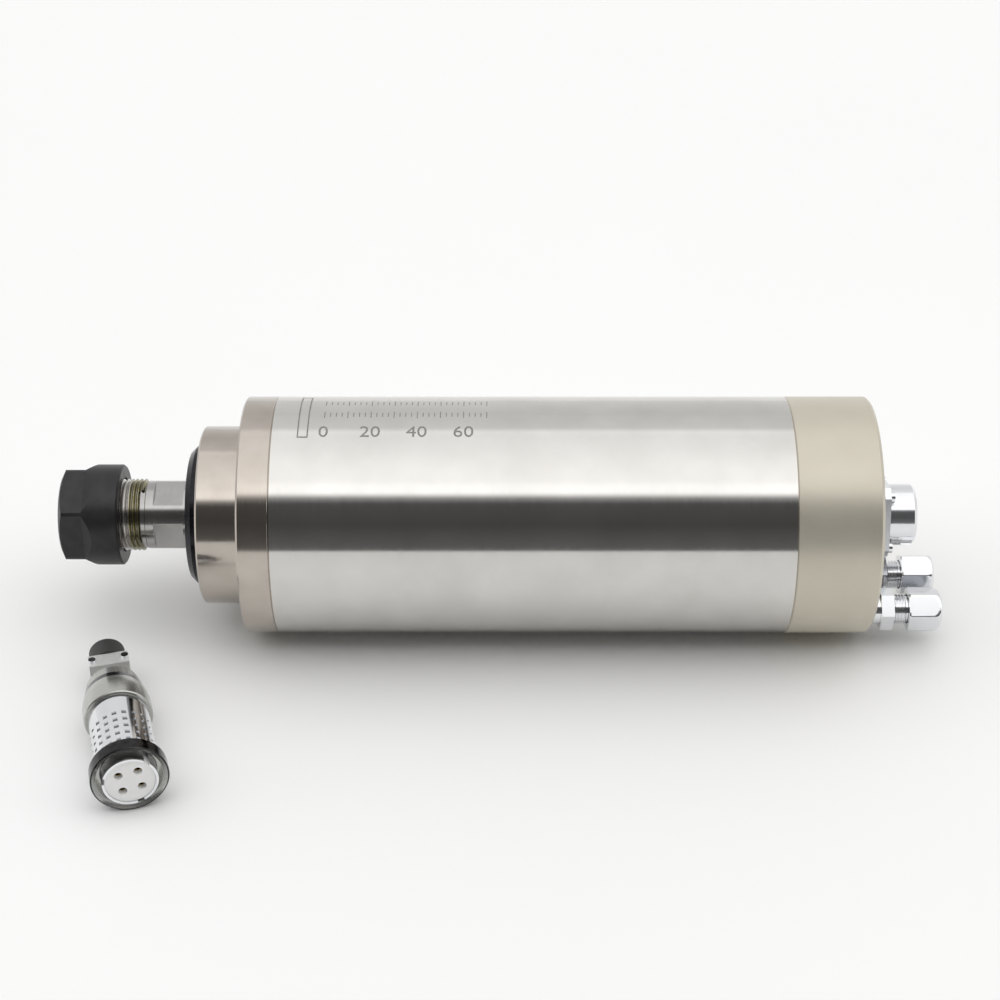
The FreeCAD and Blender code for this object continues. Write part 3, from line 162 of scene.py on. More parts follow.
# Hose nuts of the water fittings, and the turn of each hexagon in degrees
NUT_FLATS = 13.0
NUT_BORE = 5.0
NUT_SEAT = 5.5
NUT_SLOPE = 2.0
NUT_EDGE = 0.5
NUT_CREASE = 25.0
HOSE_BORE = 4.1
NUT_MOUTH = 4.9
NUT_DOME = 3.2
NUT_STEPS = 8
NUT_TURNS = {"inlet": 25.0, "outlet": 44.0}

# Etched marks on the sleeve: places along X, and angles from -Y up over the top
MARK_LIFT = 0.03
MARK_CUT = 1.0
MARK_BOX = (19.0, 22.6, 74.0, 113.0)
MARK_START = 27.5
MARK_END = 80.7
MARK_LINE = 0.3
FRAME_LINE = 0.45
MARK_ROWS = (78.0, 90.5, 102.5)
MARK_COUNT = 29
MARKS_PER_TEN = 4
MARKS_PER_FIGURE = 8
LONG_MARK = 3.6
SHORT_MARK = 2.2
FIGURE_SIZE = 7.0
FIGURE_MIDDLE = 0.35

# Places of the colour sockets of a Mix node
MIX_FACTOR = 0
MIX_LOW = 6
MIX_HIGH = 7
MIX_RESULT = 2


# Meshes

def join(bm):
    """Joins points that meet and turns every face outwards."""
    bmesh.ops.remove_doubles(bm, verts=bm.verts, dist=MERGE_DISTANCE)
    bmesh.ops.recalc_face_normals(bm, faces=bm.faces)


def shade(bm, angle):
    """Smooth faces, with creases of more than an angle in degrees kept sharp."""
    for face in bm.faces:
        face.smooth = True
    for edge in bm.edges:
        sharp = len(edge.link_faces) == 2 and edge.calc_face_angle(0.0) > math.radians(angle)
        edge.smooth = not sharp


def mesh_object(name, bm, material):
    """An object at the origin with one finish."""
    mesh = bpy.data.meshes.new(name)
    bm.to_mesh(mesh)
    bm.free()
    mesh.materials.append(material)
    made = bpy.data.objects.new(name, mesh)
    bpy.context.scene.collection.objects.link(made)
    return made


def piece(name, bm, body, material, place=None):
    """A finished piece, put in its place, that rides on a body of the frame."""
    if place is not None:
        bmesh.ops.transform(bm, matrix=place, verts=bm.verts)
    made = mesh_object(name, bm, material)
    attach(made, body)
    return made


def turned(outline, steps=144):
    """A mesh turned about X from the (place along X, radius) corners of a closed outline."""
    bm = bmesh.new()
    corners = [bm.verts.new((x * MM, 0.0, r * MM)) for x, r in outline]
    edges = [bm.edges.new(pair) for pair in zip(corners, corners[1:] + corners[:1])]
    bmesh.ops.spin(bm, geom=corners + edges, cent=(0, 0, 0), axis=(1, 0, 0), dvec=(0, 0, 0),
                   angle=math.tau, steps=steps, use_merge=True, use_duplicate=False)
    join(bm)
    return bm


def helix(start, end, pitch, profile, steps):
    """A thread ridge: the profile's (along X, radius) corners wound about X from start to end,
    in a number of steps each turn."""
    turns = (end - start) / pitch
    count = round(turns * steps)
    bm = bmesh.new()
    corners = [bm.verts.new(((start + x) * MM, 0.0, r * MM)) for x, r in profile]
    ring = [bm.edges.new(pair) for pair in zip(corners, corners[1:] + corners[:1])]
    bm.faces.new(corners)
    step = (end - start) / count * MM
    wound = bmesh.ops.spin(bm, geom=corners + ring, cent=(0, 0, 0), axis=(1, 0, 0),
                           dvec=(step, 0, 0), angle=math.tau * turns, steps=count,
                           use_merge=False, use_duplicate=False)
    last = [item for item in wound["geom_last"] if isinstance(item, bmesh.types.BMEdge)]
    bmesh.ops.contextual_create(bm, geom=last)
    bmesh.ops.recalc_face_normals(bm, faces=bm.faces)
    return bm


def axis_frame(origin, along):
    """The matrix that takes X to a direction, keeping Y level."""
    x = Vector(along).normalized()
    y = Vector((0, 0, 1)).cross(x).normalized()
    z = x.cross(y)
    turn = Matrix((x, y, z)).transposed().to_4x4()
    return Matrix.Translation(Vector(origin)) @ turn


# Materials

class Finish:
    """A node material built round one Principled shader."""

    def __init__(self, name, colour, metallic, roughness):
        self.material = bpy.data.materials.new(name)
        self.material.use_nodes = True
        self.tree = self.material.node_tree
        self.shader = self.tree.nodes["Principled BSDF"]
        self.shader.inputs["Base Color"].default_value = (*colour, 1.0)
        self.shader.inputs["Metallic"].default_value = metallic
        self.shader.inputs["Roughness"].default_value = roughness

    def node(self, kind, **settings):
        """A new node with its settings."""
        made = self.tree.nodes.new(kind)
        for name, value in settings.items():
            setattr(made, name, value)
        return made

    def link(self, source, target):
        self.tree.links.new(source, target)

    def noise(self, scale, detail=4.0, stretch=(1.0, 1.0, 1.0)):
        """Noise of about 1/scale metres, stretched along the object's axes."""
        place = self.node("ShaderNodeTexCoord")
        spread = self.node("ShaderNodeMapping")
        spread.inputs["Scale"].default_value = stretch
        self.link(place.outputs["Object"], spread.inputs["Vector"])
        texture = self.node("ShaderNodeTexNoise")
        texture.inputs["Scale"].default_value = scale
        texture.inputs["Detail"].default_value = detail
        self.link(spread.outputs["Vector"], texture.inputs["Vector"])
        return texture.outputs["Fac"]

    def sheets(self, scale):
        """Even bands across X."""
        place = self.node("ShaderNodeTexCoord")
        texture = self.node("ShaderNodeTexWave", wave_type="BANDS", bands_direction="X")
        texture.inputs["Scale"].default_value = scale
        self.link(place.outputs["Object"], texture.inputs["Vector"])
        return texture.outputs["Fac"]

    def ramp(self, source, low, high, start=0.3, end=0.7):
        """Goes from low to high as a source goes from start to end."""
        spread = self.node("ShaderNodeMapRange")
        spread.inputs["From Min"].default_value = start
        spread.inputs["From Max"].default_value = end
        spread.inputs["To Min"].default_value = low
        spread.inputs["To Max"].default_value = high
        self.link(source, spread.inputs["Value"])
        return spread.outputs["Result"]

    def tint(self, source, low, high, start=0.3, end=0.7):
        """Colour between two tones by a source."""
        mixed = self.node("ShaderNodeMix", data_type="RGBA")
        mixed.inputs[MIX_LOW].default_value = (*low, 1.0)
        mixed.inputs[MIX_HIGH].default_value = (*high, 1.0)
        self.link(self.ramp(source, 0.0, 1.0, start, end), mixed.inputs[MIX_FACTOR])
        self.link(mixed.outputs[MIX_RESULT], self.shader.inputs["Base Color"])

    def vary_roughness(self, source, low, high):
        self.link(self.ramp(source, low, high), self.shader.inputs["Roughness"])

    def bump(self, source, distance):
        """Gives the surface a relief of a height in millimetres."""
        node = self.node("ShaderNodeBump")
        node.inputs["Distance"].default_value = distance * MM
        node.inputs["Strength"].default_value = 1.0
        self.link(source, node.inputs["Height"])
        self.link(node.outputs["Normal"], self.shader.inputs["Normal"])


def polished_steel():
    """Ground and polished tube: fine rings round it and faint clouding."""
    finish = Finish("polished_steel", (0.60, 0.585, 0.56), 1.0, 0.1)
    rings = finish.noise(900.0, 2.0, (2.0, 0.06, 0.06))
    clouds = finish.noise(60.0, 4.0)
    finish.tint(clouds, (0.58, 0.565, 0.54), (0.64, 0.625, 0.60))
    finish.vary_roughness(rings, 0.07, 0.12)
    finish.bump(rings, 0.002)
    return finish.material


def turned_steel():
    """Flange and boss, with warmer tone and turning marks."""
    finish = Finish("turned_steel", (0.48, 0.435, 0.39), 1.0, 0.1)
    rings = finish.noise(1200.0, 2.0, (2.0, 0.05, 0.05))
    clouds = finish.noise(90.0, 4.0)
    finish.tint(clouds, (0.45, 0.405, 0.36), (0.51, 0.465, 0.42))
    finish.vary_roughness(rings, 0.1, 0.14)
    finish.bump(rings, 0.002)
    return finish.material


def cap_coat():
    """Satin cream-grey finish of the rear cap."""
    finish = Finish("cap_coat", (0.60, 0.557, 0.465), 0.55, 0.36)
    grain = finish.noise(1500.0, 3.0)
    clouds = finish.noise(70.0, 3.0)
    finish.tint(clouds, (0.585, 0.542, 0.45), (0.615, 0.572, 0.48))
    finish.vary_roughness(grain, 0.32, 0.4)
    finish.bump(grain, 0.004)
    return finish.material


def black_oxide():
    """Nose nut: dark oxide over steel, slightly worn."""
    finish = Finish("black_oxide", (0.035, 0.034, 0.035), 0.7, 0.4)
    wear = finish.noise(260.0, 5.0)
    grain = finish.noise(2500.0, 2.0)
    finish.tint(wear, (0.034, 0.033, 0.035), (0.044, 0.043, 0.043), 0.35, 0.7)
    finish.vary_roughness(wear, 0.37, 0.44)
    finish.bump(grain, 0.004)
    return finish.material


def slinger_black():
    """Blued steel disc with a sheen."""
    finish = Finish("slinger_black", (0.009, 0.009, 0.012), 0.6, 0.22)
    rings = finish.noise(900.0, 2.0, (0.1, 1.0, 1.0))
    finish.tint(rings, (0.006, 0.006, 0.008), (0.014, 0.014, 0.019))
    finish.vary_roughness(rings, 0.18, 0.3)
    return finish.material


def ground_steel():
    finish = Finish("ground_steel", (0.39, 0.38, 0.37), 1.0, 0.16)
    rings = finish.noise(1400.0, 2.0, (2.0, 0.05, 0.05))
    clouds = finish.noise(150.0, 3.0)
    finish.tint(clouds, (0.37, 0.36, 0.35), (0.42, 0.41, 0.40))
    finish.vary_roughness(rings, 0.12, 0.2)
    finish.bump(rings, 0.003)
    return finish.material


def oiled_thread():
    """Steel thread with an olive film of oil on its rear turns."""
    finish = Finish("oiled_thread", (0.40, 0.38, 0.33), 1.0, 0.2)
    place = finish.node("ShaderNodeTexCoord")
    split = finish.node("ShaderNodeSeparateXYZ")
    finish.link(place.outputs["Object"], split.inputs["Vector"])
    along = split.outputs["X"]
    front = finish.ramp(along, 0.0, 1.0, (OIL_FRONT - OIL_FADE) * MM, OIL_FRONT * MM)
    rear = finish.ramp(along, 1.0, 0.0, OIL_REAR * MM, (OIL_REAR + OIL_FADE) * MM)
    film = finish.node("ShaderNodeMath", operation="MULTIPLY")
    finish.link(front, film.inputs[0])
    finish.link(rear, film.inputs[1])
    patches = finish.noise(300.0, 4.0)
    uneven = finish.node("ShaderNodeMath", operation="MULTIPLY")
    finish.link(film.outputs[0], uneven.inputs[0])
    finish.link(finish.ramp(patches, 0.65, 1.0), uneven.inputs[1])
    finish.tint(uneven.outputs[0], (0.50, 0.48, 0.46), (0.22, 0.205, 0.095), 0.0, 1.0)
    finish.vary_roughness(patches, 0.16, 0.28)
    return finish.material


def bearing_steel():
    finish = Finish("bearing_steel", (0.62, 0.62, 0.63), 1.0, 0.12)
    grain = finish.noise(2000.0, 2.0)
    finish.vary_roughness(grain, 0.08, 0.16)
    finish.bump(grain, 0.001)
    return finish.material


def bearing_cage():
    finish = Finish("bearing_cage", (0.36, 0.25, 0.12), 0.0, 0.5)
    weave = finish.noise(1800.0, 3.0)
    finish.tint(weave, (0.30, 0.20, 0.09), (0.42, 0.30, 0.15))
    finish.bump(weave, 0.01)
    return finish.material


def collet_steel():
    finish = Finish("collet_steel", (0.58, 0.57, 0.56), 1.0, 0.16)
    rings = finish.noise(1600.0, 2.0, (2.0, 0.1, 0.1))
    finish.vary_roughness(rings, 0.12, 0.22)
    finish.bump(rings, 0.002)
    return finish.material


# Dark screw steel; the same finish is the painted shade of the screw recesses
def screw_steel():
    finish = Finish("screw_steel", (0.05, 0.05, 0.052), 0.8, 0.35)
    grain = finish.noise(3000.0, 2.0)
    finish.tint(grain, (0.04, 0.04, 0.042), (0.075, 0.072, 0.07))
    finish.bump(grain, 0.003)
    return finish.material


def cast_aluminium():
    finish = Finish("cast_aluminium", (0.62, 0.62, 0.61), 1.0, 0.38)
    grain = finish.noise(1100.0, 5.0)
    finish.tint(grain, (0.55, 0.55, 0.54), (0.68, 0.68, 0.67))
    finish.vary_roughness(grain, 0.3, 0.48)
    finish.bump(grain, 0.012)
    return finish.material


def core_iron():
    """Stacked sheets: fine lines across the axis."""
    finish = Finish("core_iron", (0.24, 0.23, 0.22), 1.0, 0.4)
    sheets = finish.sheets(1000.0)
    finish.tint(sheets, (0.14, 0.135, 0.13), (0.30, 0.29, 0.28))
    finish.bump(sheets, 0.03)
    return finish.material


def copper_winding():
    finish = Finish("copper_winding", (0.60, 0.26, 0.12), 0.8, 0.32)
    strands = finish.noise(700.0, 3.0, (0.15, 1.0, 1.0))
    finish.tint(strands, (0.42, 0.15, 0.06), (0.72, 0.34, 0.16))
    finish.bump(strands, 0.08)
    return finish.material


def seal_rubber():
    finish = Finish("seal_rubber", (0.028, 0.028, 0.028), 0.0, 0.55)
    grain = finish.noise(1800.0, 4.0)
    finish.tint(grain, (0.022, 0.022, 0.022), (0.045, 0.044, 0.043))
    finish.vary_roughness(grain, 0.45, 0.65)
    finish.bump(grain, 0.01)
    return finish.material


def bright_chrome():
    """Plated brass: smooth, bright, with faint handling marks."""
    finish = Finish("bright_chrome", (0.79, 0.80, 0.82), 1.0, 0.12)
    marks = finish.noise(180.0, 3.0)
    finish.tint(marks, (0.77, 0.78, 0.80), (0.81, 0.82, 0.835))
    finish.vary_roughness(marks, 0.1, 0.15)
    return finish.material


def satin_nickel():
    """Greyer plating of the plug's body."""
    finish = Finish("satin_nickel", (0.50, 0.50, 0.475), 0.85, 0.24)
    brushing = finish.noise(2500.0, 2.0)
    finish.tint(brushing, (0.49, 0.49, 0.465), (0.51, 0.51, 0.485))
    finish.vary_roughness(brushing, 0.22, 0.26)
    return finish.material


def dark_nickel():
    """The plug's mouth band, nearly black."""
    finish = Finish("dark_nickel", (0.035, 0.035, 0.036), 1.0, 0.14)
    streaks = finish.noise(500.0, 2.0)
    finish.tint(streaks, (0.025, 0.025, 0.026), (0.05, 0.05, 0.05))
    finish.vary_roughness(streaks, 0.12, 0.18)
    return finish.material


def nickel_painted_shade():
    """Plating painted dark: painted shade in the grip's small dents and a painted reflection on
    the body's shoulder.
    """
    finish = Finish("nickel_painted_shade", (0.13, 0.13, 0.134), 1.0, 0.18)
    streaks = finish.noise(700.0, 3.0)
    finish.tint(streaks, (0.11, 0.11, 0.113), (0.16, 0.16, 0.164))
    finish.vary_roughness(streaks, 0.15, 0.22)
    return finish.material


def cast_zinc():
    """The two saddles of the cable clamp, tumbled and plated."""
    finish = Finish("cast_zinc", (0.78, 0.78, 0.77), 0.5, 0.32)
    grain = finish.noise(1600.0, 3.0)
    finish.tint(grain, (0.75, 0.75, 0.74), (0.81, 0.81, 0.80))
    finish.vary_roughness(grain, 0.28, 0.36)
    finish.bump(grain, 0.004)
    return finish.material


def brass_contact():
    finish = Finish("brass_contact", (0.60, 0.45, 0.20), 1.0, 0.25)
    grain = finish.noise(1500.0, 3.0)
    finish.tint(grain, (0.50, 0.37, 0.15), (0.70, 0.54, 0.27))
    finish.bump(grain, 0.002)
    return finish.material


def white_insert():
    finish = Finish("white_insert", (0.94, 0.94, 0.925), 0.0, 0.4)
    clouds = finish.noise(300.0, 3.0)
    finish.tint(clouds, (0.93, 0.93, 0.915), (0.95, 0.95, 0.94))
    finish.bump(clouds, 0.01)
    return finish.material


def etched_grey():
    finish = Finish("etched_grey", (0.24, 0.235, 0.22), 0.6, 0.5)
    grain = finish.noise(1800.0, 4.0)
    finish.tint(grain, (0.17, 0.166, 0.155), (0.34, 0.33, 0.31))
    return finish.material


POLISHED = polished_steel()
TURNED = turned_steel()
CAP = cap_coat()
OXIDE = black_oxide()
SLINGER = slinger_black()
GROUND = ground_steel()
THREAD = oiled_thread()
BEARING = bearing_steel()
CAGE = bearing_cage()
COLLET = collet_steel()
SCREW_AND_SLOT_SHADE = screw_steel()
ALUMINIUM = cast_aluminium()
IRON = core_iron()
COPPER = copper_winding()
RUBBER = seal_rubber()
CHROME = bright_chrome()
NICKEL = dark_nickel()
PAINTED_SHADE_NICKEL = nickel_painted_shade()
PLUG_NICKEL = satin_nickel()
ZINC = cast_zinc()
BRASS = brass_contact()
WHITE = white_insert()
ETCHED = etched_grey()

# The finish of each node of the frame, by words in its name; the first that fits is used
NODE_FINISHES = (
    ("outer_sleeve", POLISHED), ("front_bearing_housing", TURNED), ("rear_cap", CAP),
    ("collet_nut", OXIDE), ("dust_slinger", SLINGER), ("collet", COLLET), ("extractor", COLLET),
    ("socket_gasket", RUBBER), ("seal", RUBBER), ("grommet", RUBBER), ("washer", RUBBER),
    ("socket_screws", CHROME), ("clamp_screws", CHROME), ("screws", SCREW_AND_SLOT_SHADE),
    ("squirrel", ALUMINIUM), ("_cage", CAGE), ("bearing_carrier", ALUMINIUM),
    ("bearing_retainer", ALUMINIUM), ("race", BEARING), ("balls", BEARING),
    ("water_jacket", ALUMINIUM), ("core", IRON),
    ("winding", COPPER), ("insert", WHITE), ("pins", BRASS), ("contacts", BRASS),
    ("ferrule", BRASS), ("fitting", CHROME), ("hose_nut", CHROME), ("power_socket", CHROME),
    ("plug_clamp", ZINC), ("plug_coupling_ring", NICKEL), ("plug", CHROME), ("", GROUND),
)


def dress_nodes():
    """Gives every node of the frame its finish."""
    for name, node in frame["nodes"].items():
        finish = next(finish for word, finish in NODE_FINISHES if word in name)
        if not node.data.materials:
            node.data.materials.append(finish)
        for place in node.material_slots:
            place.material = finish


# Pieces made here

def nose_thread():
    """The nose's external thread, seen between the nut and the land."""
    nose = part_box("shaft")[0].x / MM
    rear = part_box("collet_nut")[1].x / MM + BARE_THREAD
    foot = THREAD_PITCH * THREAD_FOOT
    tip = THREAD_PITCH * THREAD_TIP
    profile = ((-foot, THREAD_CORE), (-tip, THREAD_CREST), (tip, THREAD_CREST),
               (foot, THREAD_CORE))
    bm = helix(nose + THREAD_PITCH, rear - THREAD_PITCH * THREAD_END, THREAD_PITCH, profile,
               THREAD_STEPS)
    shade(bm, THREAD_CREASE)
    piece("nose_thread", bm, "rotor", THREAD)


def plug_axis():
    """The plug's own frame, X from its mouth to its cable end, from the joint of its ring."""
    joint = next(item for item in frame["joints"] if item["name"] == "coupling_ring_turn")
    return axis_frame(joint["pos_m"], joint["axis"])


def coupling_ring(place):
    """The plug's ring, with rows of small dents round the grip, their floors painted dark as
    shade.
    """
    pitch = (GRIP_END - GRIP_START) / GRIP_ROWS
    outline = [(RING_FLARE, RING_BORE), (RING_BAND - RING_FLOOR, RING_BORE),
               (RING_BAND - RING_FLOOR, GRIP_BORE), (RING_LENGTH, GRIP_BORE),
               (RING_LENGTH, GRIP_RADIUS - GRIP_EDGE), (RING_LENGTH - GRIP_EDGE, GRIP_RADIUS)]
    for row in reversed(range(GRIP_ROWS)):
        low = GRIP_START + row * pitch + (pitch - DENT_LENGTH) / 2
        outline += [(low + DENT_LENGTH, GRIP_RADIUS), (low, GRIP_RADIUS)]
    outline += [(RING_BAND + GRIP_FOOT, GRIP_RADIUS), (RING_BAND, GRIP_RADIUS + GRIP_FOOT),
                (RING_BAND, RING_RADIUS - RING_EDGE), (RING_BAND - RING_EDGE, RING_RADIUS),
                (MOUTH_EDGE, RING_RADIUS), (0.0, RING_RADIUS - MOUTH_EDGE),
                (0.0, RING_RADIUS - RING_LIP)]
    bm = turned(outline, GRIP_COLUMNS * COLUMN_FACES)
    dents = [face for face in bm.faces if is_dent(face)]
    bmesh.ops.inset_region(bm, faces=dents, thickness=DENT_SLOPE * MM, depth=-DENT_DEPTH * MM)
    shade(bm, GRIP_CREASE)
    ring = piece("plug_ring_dented", bm, "plug_ring", NICKEL, place)
    for finish in (CHROME, PLUG_NICKEL, PAINTED_SHADE_NICKEL):
        ring.data.materials.append(finish)
    grip, mouth, dent = 1, 2, 3
    inverse = place.inverted()
    for face in ring.data.polygons:
        centre = inverse @ face.center / MM
        radius = math.hypot(centre.y, centre.z)
        # Floors of the dents are painted dark as shade
        pressed = abs(radius - GRIP_RADIUS + DENT_DEPTH) < NEAR and centre.x < GRIP_END
        if centre.x > RING_BAND - NEAR:
            face.material_index = dent if pressed else grip
        elif radius < RING_RADIUS - RING_LIP - NEAR:
            face.material_index = mouth
    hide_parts("plug_coupling_ring")


def is_dent(face):
    """Whether a face of the grip is one of the places pressed in. The face beside the band is
    as long as a dent, so there is a row of dents there too."""
    centre = face.calc_center_median()
    radius = math.hypot(centre.y, centre.z) / MM
    if abs(radius - GRIP_RADIUS) > NEAR or centre.x / MM < GRIP_START:
        return False
    turn = math.atan2(centre.y, centre.z) / math.tau
    column = round(turn * GRIP_COLUMNS * COLUMN_FACES - 0.5)
    length = max(v.co.x for v in face.verts) - min(v.co.x for v in face.verts)
    long_enough = abs(length / MM - DENT_LENGTH) < DENT_SPREAD
    return column % COLUMN_FACES in DENT_FACES and long_enough


def plug_body(place):
    """The plug's body, with a rounded taper and a shoulder in front of the collar painted dark
    as a reflection.
    """
    outline = [(BODY_FRONT, BODY_BORE), (COLLAR_END - COLLAR_WALL, BODY_BORE),
               (COLLAR_END - COLLAR_WALL, NECK_RADIUS - COLLAR_WALL),
               (NECK_END, NECK_RADIUS - COLLAR_WALL), (NECK_END, NECK_RADIUS),
               (COLLAR_END, NECK_RADIUS)]
    outline += [(COLLAR_END - back, COLLAR_FACE + out) for back, out in COLLAR_ROUND]
    outline += [(COLLAR_START, COLLAR_RADIUS), (GROOVE_END, GROOVE_RADIUS)]
    outline += [(SHOULDER - forward, radius) for forward, radius in BODY_TAPER]
    outline += [(BODY_FRONT + BODY_EDGE, BODY_WIDEST), (BODY_FRONT, BODY_WIDEST - BODY_EDGE)]
    bm = turned(outline, BODY_STEPS)
    shade(bm, BODY_CREASE)
    made = piece("plug_body_shaped", bm, "plug", PLUG_NICKEL, place)
    made.data.materials.append(PAINTED_SHADE_NICKEL)
    inverse = place.inverted()
    for face in made.data.polygons:
        along = (inverse @ face.center).x / MM
        # The shoulder is painted dark as a reflection
        if SHOULDER - SHOULDER_LENGTH < along < COLLAR_START:
            face.material_index = 1
    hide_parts("plug_shell")


def thread_ring(name, start, end, core, crest, y=0.0, z=0.0):
    """A fine outside thread on a plated part of the housing, about an axis along X."""
    foot = FINE_PITCH * FINE_FOOT
    tip = FINE_PITCH * FINE_TIP
    profile = ((-foot, core), (-tip, crest), (tip, crest), (foot, core))
    bm = helix(start + foot, end - foot, FINE_PITCH, profile, FINE_STEPS)
    shade(bm, THREAD_CREASE)
    piece(name, bm, "housing", CHROME, Matrix.Translation((0, y, z)))


def threads():
    """The threads of the socket's barrel and of the two hose fittings."""
    foot, mouth = [corner.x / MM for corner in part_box("power_socket_shell")]
    thread_ring("socket_thread", foot + SOCKET_PLATE + FINE_PITCH, mouth - SOCKET_PLAIN,
                SOCKET_RADIUS - FINE_RISE, SOCKET_RADIUS + FINE_RISE)
    for name in ("inlet", "outlet"):
        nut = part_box(name + "_hose_nut")[0].x / MM
        low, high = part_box(name + "_fitting")
        middle = (low + high) / 2
        thread_ring(name + "_thread", nut - FITTING_SHOWN, nut - FITTING_COVER, FITTING_CORE,
                    FITTING_CREST, middle.y, middle.z)


def hose_nut(name):
    """A hose nut: a domed turned blank whose sides are cut to a hexagon."""
    low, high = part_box(name + "_hose_nut")
    length = (high.x - low.x) / MM
    corner = NUT_FLATS / math.sqrt(3.0)
    outline = [(0.0, NUT_BORE), (NUT_SEAT, NUT_BORE), (NUT_SEAT + NUT_SLOPE, HOSE_BORE),
               (length, HOSE_BORE), (length, NUT_MOUTH)]
    for step in range(1, NUT_STEPS + 1):
        turn = math.pi / 2 * step / NUT_STEPS
        outline.append((length - NUT_DOME * (1.0 - math.cos(turn)),
                        NUT_MOUTH + (corner - NUT_MOUTH) * math.sin(turn)))
    outline += [(NUT_EDGE, corner), (0.0, corner - NUT_EDGE)]
    bm = turned(outline)
    for vert in bm.verts:
        off_middle = math.atan2(vert.co.z, vert.co.y) % (math.pi / 3) - math.pi / 6
        radius = math.hypot(vert.co.y, vert.co.z)
        flat = NUT_FLATS / 2 * MM / math.cos(off_middle)
        scale = min(1.0, flat / radius)
        vert.co.y *= scale
        vert.co.z *= scale
    shade(bm, NUT_CREASE)
    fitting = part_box(name + "_fitting")
    middle = (fitting[0] + fitting[1]) / 2
    place = Matrix.Translation((low.x, middle.y, middle.z))
    place @= Matrix.Rotation(math.radians(NUT_TURNS[name]), 4, "X")
    made = piece(name + "_nut_domed", bm, name + "_nut", CHROME, place)
    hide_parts(name + "_hose_nut")


def slot_shade_bar(bm, size, place):
    """A thin dark bar of painted shade, sized in millimetres, that stands for a slot in a screw
    head.
    """
    scale = Matrix.Diagonal((*[side * MM for side in size], 1.0))
    bmesh.ops.create_cube(bm, size=1.0, matrix=place @ scale)


def socket_screw_cross_shade():
    """Painted shade for the cross recesses of the four screws in the socket's foot, as dark
    bars.
    """
    bm = bmesh.new()
    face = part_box("socket_screws")[1].x
    reach = FOOT_SCREW_SIDE * math.sqrt(2.0) * MM
    for quarter in range(4):
        turn = math.radians(SOCKET_TURN + 45.0 + quarter * 90.0)
        centre = Matrix.Translation((face, reach * math.cos(turn), reach * math.sin(turn)))
        for arm in (CROSS_TURN, CROSS_TURN + math.pi / 2):
            slot_shade_bar(bm, CROSS_SHADE_BAR, centre @ Matrix.Rotation(turn + arm, 4, "X"))
    piece("socket_screw_cross_shade", bm, "housing", SCREW_AND_SLOT_SHADE)


def clamp_screw_slot_shade(place):
    """Painted shade for the slots of the two screws in the cable clamp, as dark bars."""
    bm = bmesh.new()
    for side in (1, -1):
        centre = Matrix.Translation((CLAMP_MIDDLE * MM, side * CLAMP_SCREW_SIDE * MM,
                                     (SADDLE_TOP + CLAMP_HEAD) * MM))
        slot_shade_bar(bm, SLOT_SHADE_BAR, centre @ Matrix.Rotation(SLOT_TURN * side, 4, "Z"))
    piece("clamp_screw_slot_shade", bm, "plug", SCREW_AND_SLOT_SHADE, place)


# Etched marks, drawn flat as (along X, distance round the sleeve) and wrapped on to it

def wrap(bm, angle):
    """Lays a flat drawing on the sleeve, its zero line at an angle from -Y up over the top."""
    heights = [corner.co.y for corner in bm.verts]
    height = min(heights) + MARK_CUT * MM
    while height < max(heights):
        bmesh.ops.bisect_plane(bm, geom=bm.verts[:] + bm.edges[:] + bm.faces[:],
                               plane_co=(0.0, height, 0.0), plane_no=(0.0, 1.0, 0.0))
        height += MARK_CUT * MM
    radius = BODY_RADIUS + MARK_LIFT
    for corner in bm.verts:
        turn = math.radians(angle) + corner.co.y / (BODY_RADIUS * MM)
        corner.co = Vector((corner.co.x, -radius * MM * math.cos(turn),
                            radius * MM * math.sin(turn)))


def bar(bm, x0, x1, y0, y1):
    """A filled rectangle in a flat drawing."""
    corners = [bm.verts.new((x * MM, y * MM, 0.0))
               for x, y in ((x0, y0), (x1, y0), (x1, y1), (x0, y1))]
    bm.faces.new(corners)


def figures(bm, text, x, y):
    """Plain figures in a flat drawing, centred at x and standing on y."""
    curve = bpy.data.curves.new("figures", "FONT")
    curve.body = text
    curve.size = FIGURE_SIZE * MM
    curve.align_x = "CENTER"
    curve.resolution_u = 3
    drawn = bpy.data.objects.new("figures", curve)
    bpy.context.scene.collection.objects.link(drawn)
    bpy.context.view_layer.update()
    mesh = bpy.data.meshes.new_from_object(drawn)
    mesh.transform(Matrix.Translation((x * MM, y * MM, 0.0)))
    bm.from_mesh(mesh)
    bpy.data.objects.remove(drawn)
    bpy.data.curves.remove(curve)
    bpy.data.meshes.remove(mesh)


def etched_scale():
    """A plain scale: a row of figures with two rows of lines above it."""
    bm = bmesh.new()
    step = (MARK_END - MARK_START) / (MARK_COUNT - 1)
    per_degree = math.radians(1.0) * BODY_RADIUS
    low, middle, high = [(angle - MARK_ROWS[0]) * per_degree for angle in MARK_ROWS]
    for i in range(MARK_COUNT):
        x = MARK_START + i * step
        tall = LONG_MARK if i % MARKS_PER_TEN == 0 else SHORT_MARK
        bar(bm, x - MARK_LINE / 2, x + MARK_LINE / 2, middle - tall / 2, middle + tall / 2)
        bar(bm, x - MARK_LINE / 2, x + MARK_LINE / 2, high - tall / 2, high + tall / 2)
        if i % MARKS_PER_FIGURE == 0:
            shown = str(i // MARKS_PER_TEN * 10)
            figures(bm, shown, x, low - FIGURE_SIZE * FIGURE_MIDDLE)
    wrap(bm, MARK_ROWS[0])
    piece("etched_scale", bm, "housing", ETCHED)


